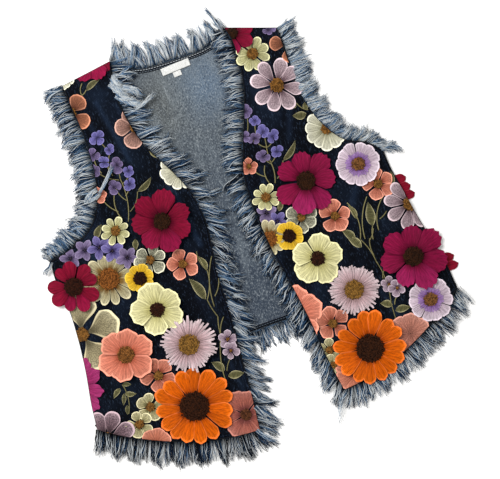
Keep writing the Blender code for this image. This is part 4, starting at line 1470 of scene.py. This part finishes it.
def knots_surface(places, heights, size, colour, random):
    """French knots: small pillows, a square grid drawn out to a disc and raised by
    cos(pi x / 2) cos(pi y / 2)."""
    x, y = np.meshgrid(*[np.linspace(-1, 1, KNOT_GRID)] * 2, indexing="ij")
    disc = np.stack([x * np.sqrt(1 - y**2 / 2), y * np.sqrt(1 - x**2 / 2)], axis=-1)
    rise = np.cos(0.42 * np.pi * x) * np.cos(0.42 * np.pi * y)
    scale = size * random.uniform(0.8, 1.2, (len(places), 1, 1))
    plan = places[:, None, None] + disc[None] * scale[..., None]
    height = heights[:, None, None] + scale * (rise[None] - 0.3)
    shade = random.uniform(0.5, 1.6, (len(places), 1, 1, 1))
    # Painted shade: each knot is darker at its foot and lighter at its top.
    low = (0.45 + 0.55 * rise)[None, ..., None]
    tint = np.array(linear(colour)) * shade * low
    tint = np.broadcast_to(tint, (*plan.shape[:-1], 3))
    faces = grid_faces(len(places), KNOT_GRID, KNOT_GRID)
    return surface(with_height(plan, height), faces, tint=tint)


def eye_surface(kind, flower, level, random):
    """Knots on a low mound, placed like seeds: the n-th at radius sqrt(n), turned 137.5 degrees."""
    radius = kind.eye * flower.size / 2
    count = max(9, int(2.2 * (radius / KNOT_PITCH) ** 2))
    n = np.arange(count)
    spread = np.sqrt((n + 0.5) / count)
    angle = n * math.radians(GOLDEN_ANGLE)
    places = np.stack([np.cos(angle), np.sin(angle)], axis=1) * (radius * spread)[:, None]
    places = places * random.uniform(0.94, 1.08, (count, 1)) + (flower.x, flower.y)
    ground = motif_level(places, side_of(flower.x))
    mound = level + 0.8 + 0.12 * radius * (1 - spread**2)
    size = radius / math.sqrt(count) * 1.2
    return knots_surface(places, ground + mound + 0.3 * size, size, kind.eye_colour, random)


def trimmed(made, side):
    """What of a surface lies on the panel. Faces wholly past its edge go, and the points of those
    that cross it are drawn back to the edge."""
    plan = made.points[:, :2]
    kept_plan = onto_panel(plan, side)
    outside = np.linalg.norm(plan - kept_plan, axis=1) > 0.05
    points = made.points.copy()
    points[:, :2] = kept_plan
    faces = [block[~outside[block].all(axis=1)] for block in made.faces]
    used = np.unique(np.concatenate([block.ravel() for block in faces]))
    index = np.full(len(points), -1)
    index[used] = np.arange(len(used))
    faces = [index[block] for block in faces]
    fields = [field[used] for field in (made.thread, made.petal, made.tint, made.work)]
    return Surface(points[used], faces, *fields)


def flower_layers():
    """How many flowers lie under each one: one more than the most under any that it covers."""
    layers = []
    for flower in FLOWERS:
        under = [
            layer + 1
            for layer, other in zip(layers, FLOWERS)
            if math.dist(flower[2:4], other[2:4]) < OVERLAP * (flower.size + other.size)
        ]
        layers.append(max(under, default=0))
    return layers


def build_flowers():
    small = {side: [] for side in SIDES}
    for i, (flower, layer) in enumerate(zip(FLOWERS, flower_layers())):
        random = np.random.default_rng(FLOWER_SEED + i)
        kind = KINDS[flower.kind]
        level = GROUND_LIFT + LAYER_HEIGHT * layer
        if flower.piece:
            level += LARGE_FLOWER_LIFT
        parts = [
            petal_surface(kind, flower, level - 0.3 * whorl, whorl, random)
            for whorl in range(kind.whorls)
        ]
        if kind.collar:
            collar = flower._replace(size=kind.collar_size * flower.size)
            lift = level + kind.cup + 2 * kind.step + 0.3
            parts.append(petal_surface(KINDS[kind.collar], collar, lift, 0, random))
        if kind.eye:
            parts.append(eye_surface(kind, flower, level + 0.4 * kind.cup + kind.step, random))
        made = joined(parts)
        if flower.trimmed:
            made = trimmed(made, side_of(flower.x))
        if flower.piece:
            add_piece(
                flower.piece.replace("flower", "embroidered"), made, embroidery_thread(),
                replaces=[flower.piece], slot=SLOTS[flower.kind],
            )
        else:
            small[side_of(flower.x)].append(made)
    for side, parts in small.items():
        add_piece("small_flowers_" + side, joined(parts), embroidery_thread())


def stem_curve(stem, at):
    """A stem's plan: straight from foot to head, plus a bow of 4 t (1 - t) square to it."""
    foot, head = np.array(stem.foot, float), np.array(stem.head, float)
    run = head - foot
    square = np.array([-run[1], run[0]]) / np.linalg.norm(run)
    at = np.asarray(at, float)[..., None]
    return foot + run * at + square * stem.bow * 4 * at * (1 - at)


def leaf_surface(leaf, side, random):
    """A pointed leaf. At u along it, its half width is width/2 sin(pi u^0.8), and it bends
    sideways by u (1 - u). Its middle rib is sunk between two raised halves."""
    u = np.linspace(0, 1, LEAF_ROWS)[:, None]
    v = np.linspace(-1, 1, LEAF_COLUMNS)[None, :]
    run = np.subtract(leaf.tip, leaf.foot)
    length = np.linalg.norm(run)
    ahead = run / length
    aside = np.array([-ahead[1], ahead[0]])
    half = 0.5 * leaf.width * np.sin(np.pi * u**0.8)
    bend = 0.4 * length * u * (1 - u) * random.uniform(-1, 1)
    plan = leaf.foot + u[..., None] * run + (half * v + bend)[..., None] * aside
    relief = 0.7 * (np.abs(v) - v**2) * 3 * np.sin(np.pi * u)
    height = motif_level(plan, side) + GROUND_LIFT + relief
    dark, pale = np.array(linear(SAGE)), np.array(linear(SAGE_LIGHT))
    edge = (np.abs(v) ** 4 + 0 * u)[..., None]
    tint = (dark * (1 - edge) + pale * edge) * random.uniform(0.75, 1.2)
    thread = np.stack(np.broadcast_arrays(0.5 * length * u, half * v), axis=-1)
    petal = np.stack(np.broadcast_arrays(v, 0.6 * u), axis=-1)
    faces = grid_faces(1, LEAF_ROWS, LEAF_COLUMNS)
    return surface(with_height(plan, height), faces, thread, petal, tint, (0.25, 0.8, 0))


def bud_surface(bud, turn, random):
    flower = Flower(SMALL, bud.kind, bud.x, bud.y, bud.size, turn, True)
    return petal_surface(KINDS[bud.kind], flower, GROUND_LIFT + 0.5, 0, random)


def build_stems():
    for side in SIDES:
        own = [stem for stem in STEMS if side_of(stem.foot[0]) == side]
        plans = np.array([stem_curve(stem, np.linspace(0, 1, STEM_POINTS)) for stem in own])
        paths = with_height(plans, motif_level(plans, side) + GROUND_LIFT)
        shade = np.random.default_rng(STEM_SEED).uniform(0.8, 1.15, (len(own), 1, 1))
        stems = tubes(paths, STEM_RADIUS, 4, np.array(linear(STEM)) * shade, 20)
        add_piece("stems_" + side, trimmed(stems, side), sewing_thread())
        random = np.random.default_rng(LEAF_SEED)
        leaves = [
            leaf_surface(leaf, side, random) for leaf in LEAVES if side_of(leaf.foot[0]) == side
        ]
        add_piece("leaves_" + side, trimmed(joined(leaves), side), embroidery_thread())
        buds = [
            bud_surface(bud, BUD_TURN * i, random)
            for i, bud in enumerate(BUDS)
            if side_of(bud.x) == side
        ]
        add_piece("lilac_buds_" + side, trimmed(joined(buds), side), embroidery_thread())


def build_petal_tabs():
    """Petals of flowers on the back's outside, where they pass the side seam. A petal is as wide
    as the pitch up to half its reach, and from there it rounds off like a half disc."""
    seam = side_edge("right", FRONT_STEPS)[ARMPIT * FRONT_STEPS :][::-1]
    for i, tab in enumerate(PETAL_TABS):
        random = np.random.default_rng(PETAL_TAB_SEED + i)
        count = tab.petals
        middle = tab.y + (np.arange(count) - (count - 1) / 2) * PETAL_TAB_PITCH
        u = np.linspace(0, 1, PETAL_ROWS)[None, :, None]
        v = np.linspace(-1, 1, PETAL_COLUMNS)[None, None, :]
        beyond = np.clip(2 * u - 1, 0, 1)
        y = middle[:, None, None] + 0.54 * PETAL_TAB_PITCH * v * np.sqrt(1 - 0.96 * beyond**2)
        x = np.interp(y, seam[:, 1], seam[:, 0]) + 0.6 + tab.reach * (u - 0.08 * v**2)
        height = 0.8 + 1.3 * np.sin(np.pi * (0.3 + 0.5 * u)) * (1 - 0.5 * v**2)
        points = np.stack(np.broadcast_arrays(x, y, height), axis=-1)
        colour = np.array(linear(BACK_PETAL)) * random.uniform(0.85, 1.15, (count, 1, 1, 1))
        tint = np.broadcast_to(colour, points.shape)
        thread = np.stack(np.broadcast_arrays(6 * v, 13 * u + 0 * y), axis=-1)
        petal = np.stack(np.broadcast_arrays(v, u + 0 * y), axis=-1)
        faces = grid_faces(count, PETAL_ROWS, PETAL_COLUMNS)
        made = surface(points, faces, thread, petal, tint, (0, 0.25, 0))
        add_piece(
            tab.name.replace("petals", "stitched_petals"), made, embroidery_thread(),
            replaces=[tab.name], slot="crimson_thread",
        )


def ribbon(edge, turn, width, height_of):
    """A low band beside an edge, domed across and closed underneath."""
    outward = outward_of(edge, turn)
    across = np.linspace(0, 1, STRIP_COLUMNS)
    plan = edge[:, None] + outward[:, None] * (0.4 + across * width)[None, :, None]
    low = with_height(plan, height_of(plan))
    high = low + np.array([0, 0, TAPE_LIFT]) * (0.5 + np.sin(np.pi * across))[None, :, None]
    thread = np.broadcast_arrays(lengths_along(edge)[:, None], width * across[None])
    thread = np.stack(thread, axis=-1)
    return slab(high, low, turn == -1)._replace(thread=np.tile(thread.reshape(-1, 2), (2, 1)))


def stitch_row(edge, turn, inset, height_of, colour, radius=STITCH_RADIUS):
    """Stitches along an edge: short tubes that dip into the cloth at both ends."""
    line = edge + outward_of(edge, turn) * inset
    spans = lengths_along(line)
    starts = np.arange(2, spans[-1] - STITCH_PITCH, STITCH_PITCH)
    at = starts[:, None] + np.linspace(0, 1, 4)[None] * STITCH_LENGTH
    plan = np.stack([np.interp(at, spans, line[:, axis]) for axis in (0, 1)], axis=-1)
    dip = radius * np.array([-0.6, 1.0, 1.0, -0.6])
    return tubes(with_height(plan, height_of(plan) + dip), radius, 4, linear(colour))


def build_stitching():
    """Black tape at the back neck and back hem with pale stitches, and on the fronts a black cord
    along each edge with a row of navy stitches inside it."""
    back = back_plan()
    neck = back[0, BACK_SHOULDER_COLUMNS : BACK_SHOULDER_COLUMNS + BACK_NECK_COLUMNS + 1]
    hem = back[-1]
    tapes = [ribbon(neck, -1, TAPE_WIDTH, back_top), ribbon(hem, 1, TAPE_WIDTH - 1, back_top)]
    add_piece("seam_tapes", joined(tapes), seam_tape())

    def on_tape(points):
        return back_top(points) + 1.5 * TAPE_LIFT

    cords = []
    for side in SIDES:
        plan = front_plan(side)
        for edge in (plan[:, 0], plan[:, -1], plan[-1], plan[0]):
            path = with_height(edge, front_top(edge, side) - EDGE_CORD_SINK)
            cords.append(tubes(path[None], EDGE_CORD_RADIUS, 6, linear(EDGE_CORD), 20))
    add_piece("edge_cords", joined(cords), sewing_thread())
    rows = [
        stitch_row(neck, -1, 0.5 * TAPE_WIDTH - 0.8, on_tape, NECK_STITCHES[0], TAPE_STITCH_RADIUS),
        stitch_row(neck, -1, 0.5 * TAPE_WIDTH + 1.9, on_tape, NECK_STITCHES[1], TAPE_STITCH_RADIUS),
        stitch_row(hem, 1, 0.5 * TAPE_WIDTH, on_tape, HEM_STITCH, TAPE_STITCH_RADIUS),
    ]
    for side, turn in (("left", 1), ("right", -1)):
        plan = front_plan(side)

        def on_front(points, side=side):
            return front_top(points, side)

        for edge, way in ((plan[:, 0], -turn), (plan[:, -1], turn), (plan[-1], -turn)):
            rows.append(stitch_row(edge, way, STITCH_INSET, on_front, FRONT_STITCH))
    add_piece("stitches", joined(rows), sewing_thread())


def tag_surface(size, centre, lift):
    """A tape's face and back: flat, with a slight wave along it."""
    width, depth, thickness = size
    columns, rows = LABEL_GRID
    x, y = np.meshgrid(np.linspace(-0.5, 0.5, columns), np.linspace(0.5, -0.5, rows))
    turn = math.radians(LABEL_TURN)
    dx = x * width + centre[0] - LABEL_CENTRE[0]
    dy = y * depth + centre[1] - LABEL_CENTRE[1]
    plan = np.stack(
        [
            LABEL_CENTRE[0] + dx * math.cos(turn) - dy * math.sin(turn),
            LABEL_CENTRE[1] + dx * math.sin(turn) + dy * math.cos(turn),
        ],
        axis=-1,
    )
    wave = 0.25 * np.sin(7 * x + 1) * np.cos(3 * y)
    hem = 0.3 * np.exp(-(((np.abs(x) - 0.47) * width) ** 2))
    top = with_height(plan, back_top(plan) + lift + thickness + wave + 0.25 + hem)
    return slab(top, top - (0, 0, thickness), False)


def build_label():
    """The woven label and the small tab under it are blank."""
    tab = add_piece(
        "blank_size_tab", tag_surface(TAB, TAB_CENTRE, SEAM_GAP), woven_tape(),
        replaces=["size_tab"], slot="woven_label",
    )
    label = add_piece(
        "blank_neck_label", tag_surface(LABEL, LABEL_CENTRE, SEAM_GAP + 0.5), woven_tape(),
        replaces=["neck_label"], slot="woven_label",
    )


class WaistcoatTrims(bpy.types.PropertyGroup):
    thread_width: bpy.props.FloatProperty(
        name="Thread width", description="Width of a loose thread, in millimetres",
        default=0.78, min=0.2, max=2,
    )
    threads_per_mm: bpy.props.FloatProperty(
        name="Threads per mm", description="Loose threads along each millimetre of edge",
        default=4.4, min=0.5, max=8,
    )
    curl: bpy.props.FloatProperty(
        name="Curl", description="How far a thread waves aside at its tip, in millimetres",
        default=1.8, min=0, max=6,
    )


class WaistcoatStage(bpy.types.PropertyGroup):
    lens: bpy.props.FloatProperty(
        name="Lens", description="Focal length of the camera",
        default=85, subtype="DISTANCE_CAMERA",
    )
    soft_light: bpy.props.FloatProperty(
        name="Soft light", description="Strength of the even light from all round", default=0.72,
    )
    key_light: bpy.props.FloatProperty(
        name="Key light", description="Power of the large lamp above the waistcoat",
        default=42, subtype="POWER", unit="POWER",
    )
    paper: bpy.props.FloatVectorProperty(
        name="Paper", description="Colour of the even light, which the paper throws back",
        default=(1, 1, 1), size=3, subtype="COLOR",
    )


class WAISTCOAT_OT_panels(bpy.types.Operator):
    """Lay out the back and the two fronts"""

    bl_idname = "waistcoat.panels"
    bl_label = "Panels"

    def execute(self, context):
        back, flat, area = build_back()
        for front, flat, area in build_fronts():
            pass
        return {"FINISHED"}


class WAISTCOAT_OT_trims(bpy.types.Operator):
    """Fray the trims along every edge"""

    bl_idname = "waistcoat.trims"
    bl_label = "Frayed trims"

    def execute(self, context):
        settings = context.scene.waistcoat_trims
        build_trims(settings)
        build_wisps(settings)
        return {"FINISHED"}


class WAISTCOAT_OT_flowers(bpy.types.Operator):
    """Embroider the flowers, and the petals that pass the side seam"""

    bl_idname = "waistcoat.flowers"
    bl_label = "Flowers"

    def execute(self, context):
        build_flowers()
        build_petal_tabs()
        return {"FINISHED"}


class WAISTCOAT_OT_stems(bpy.types.Operator):
    """Embroider the stems, leaves and lilac buds"""

    bl_idname = "waistcoat.stems"
    bl_label = "Stems and leaves"

    def execute(self, context):
        build_stems()
        return {"FINISHED"}


class WAISTCOAT_OT_stitching(bpy.types.Operator):
    """Sew the tapes, the stitch rows and the blank label"""

    bl_idname = "waistcoat.stitching"
    bl_label = "Stitching and label"

    def execute(self, context):
        build_stitching()
        build_label()
        return {"FINISHED"}


class WAISTCOAT_OT_stage(bpy.types.Operator):
    """Set up the paper floor, the soft light and the camera above"""

    bl_idname = "waistcoat.stage"
    bl_label = "Stage"

    def execute(self, context):
        build_stage(context.scene, context.scene.waistcoat_stage)
        return {"FINISHED"}


OPERATORS = (
    WAISTCOAT_OT_panels,
    WAISTCOAT_OT_trims,
    WAISTCOAT_OT_flowers,
    WAISTCOAT_OT_stems,
    WAISTCOAT_OT_stitching,
    WAISTCOAT_OT_stage,
)


class WAISTCOAT_PT_sidebar(bpy.types.Panel):
    bl_label = "Waistcoat"
    bl_idname = "WAISTCOAT_PT_sidebar"
    bl_space_type = "VIEW_3D"
    bl_region_type = "UI"
    bl_category = "Waistcoat"

    def draw(self, context):
        for settings in (context.scene.waistcoat_trims, context.scene.waistcoat_stage):
            for name in settings.__annotations__:
                self.layout.prop(settings, name)
        for operator in OPERATORS:
            self.layout.operator(operator.bl_idname)


def build_stage(scene, settings):
    """A pale paper floor, light from all round with one large lamp, and a camera overhead."""
    reach = PAPER_REACH * MILLIMETRE
    corners = [(x * reach, y * reach, 0) for x, y in ((-1, -1), (1, -1), (1, 1), (-1, 1))]
    mesh = bpy.data.meshes.new("paper_floor")
    mesh.from_pydata(corners, [], [(0, 1, 2, 3)])
    mesh.materials.append(studio_paper())
    floor = bpy.data.objects.new("paper_floor", mesh)
    scene.collection.objects.link(floor)

    world = bpy.data.worlds.new("studio")
    world.use_nodes = True
    background = world.node_tree.nodes["Background"]
    background.inputs["Color"].default_value = (*settings.paper, 1)
    background.inputs["Strength"].default_value = settings.soft_light
    scene.world = world

    lamp = bpy.data.lights.new("soft_box", "AREA")
    lamp.shape = "DISK"
    lamp.size = LAMP_DIAMETER
    lamp.energy = settings.key_light
    soft_box = bpy.data.objects.new("soft_box", lamp)
    soft_box.location = LAMP_PLACE
    soft_box.rotation_euler = [math.radians(angle) for angle in LAMP_TURN]
    scene.collection.objects.link(soft_box)

    camera = bpy.data.cameras.new("overhead")
    camera.lens = settings.lens
    distance = PICTURE_WIDTH * MILLIMETRE * camera.lens / camera.sensor_width
    overhead = bpy.data.objects.new("overhead", camera)
    overhead.location = (PICTURE_CENTRE[0] * MILLIMETRE, PICTURE_CENTRE[1] * MILLIMETRE, distance)
    overhead.rotation_euler = (0, 0, math.radians(PICTURE_TURN))
    scene.collection.objects.link(overhead)
    scene.camera = overhead
    scene.view_settings.view_transform = "Standard"


CLASSES = (WaistcoatTrims, WaistcoatStage, *OPERATORS, WAISTCOAT_PT_sidebar)


def register():
    for cls in CLASSES:
        bpy.utils.register_class(cls)
    bpy.types.Scene.waistcoat_trims = bpy.props.PointerProperty(type=WaistcoatTrims)
    bpy.types.Scene.waistcoat_stage = bpy.props.PointerProperty(type=WaistcoatStage)


def unregister():
    del bpy.types.Scene.waistcoat_stage
    del bpy.types.Scene.waistcoat_trims
    for cls in reversed(CLASSES):
        bpy.utils.unregister_class(cls)


def main():
    register()
    for operator in OPERATORS:
        category, name = operator.bl_idname.split(".")
        getattr(getattr(bpy.ops, category), name)()


if __name__ == "__main__":
    main()
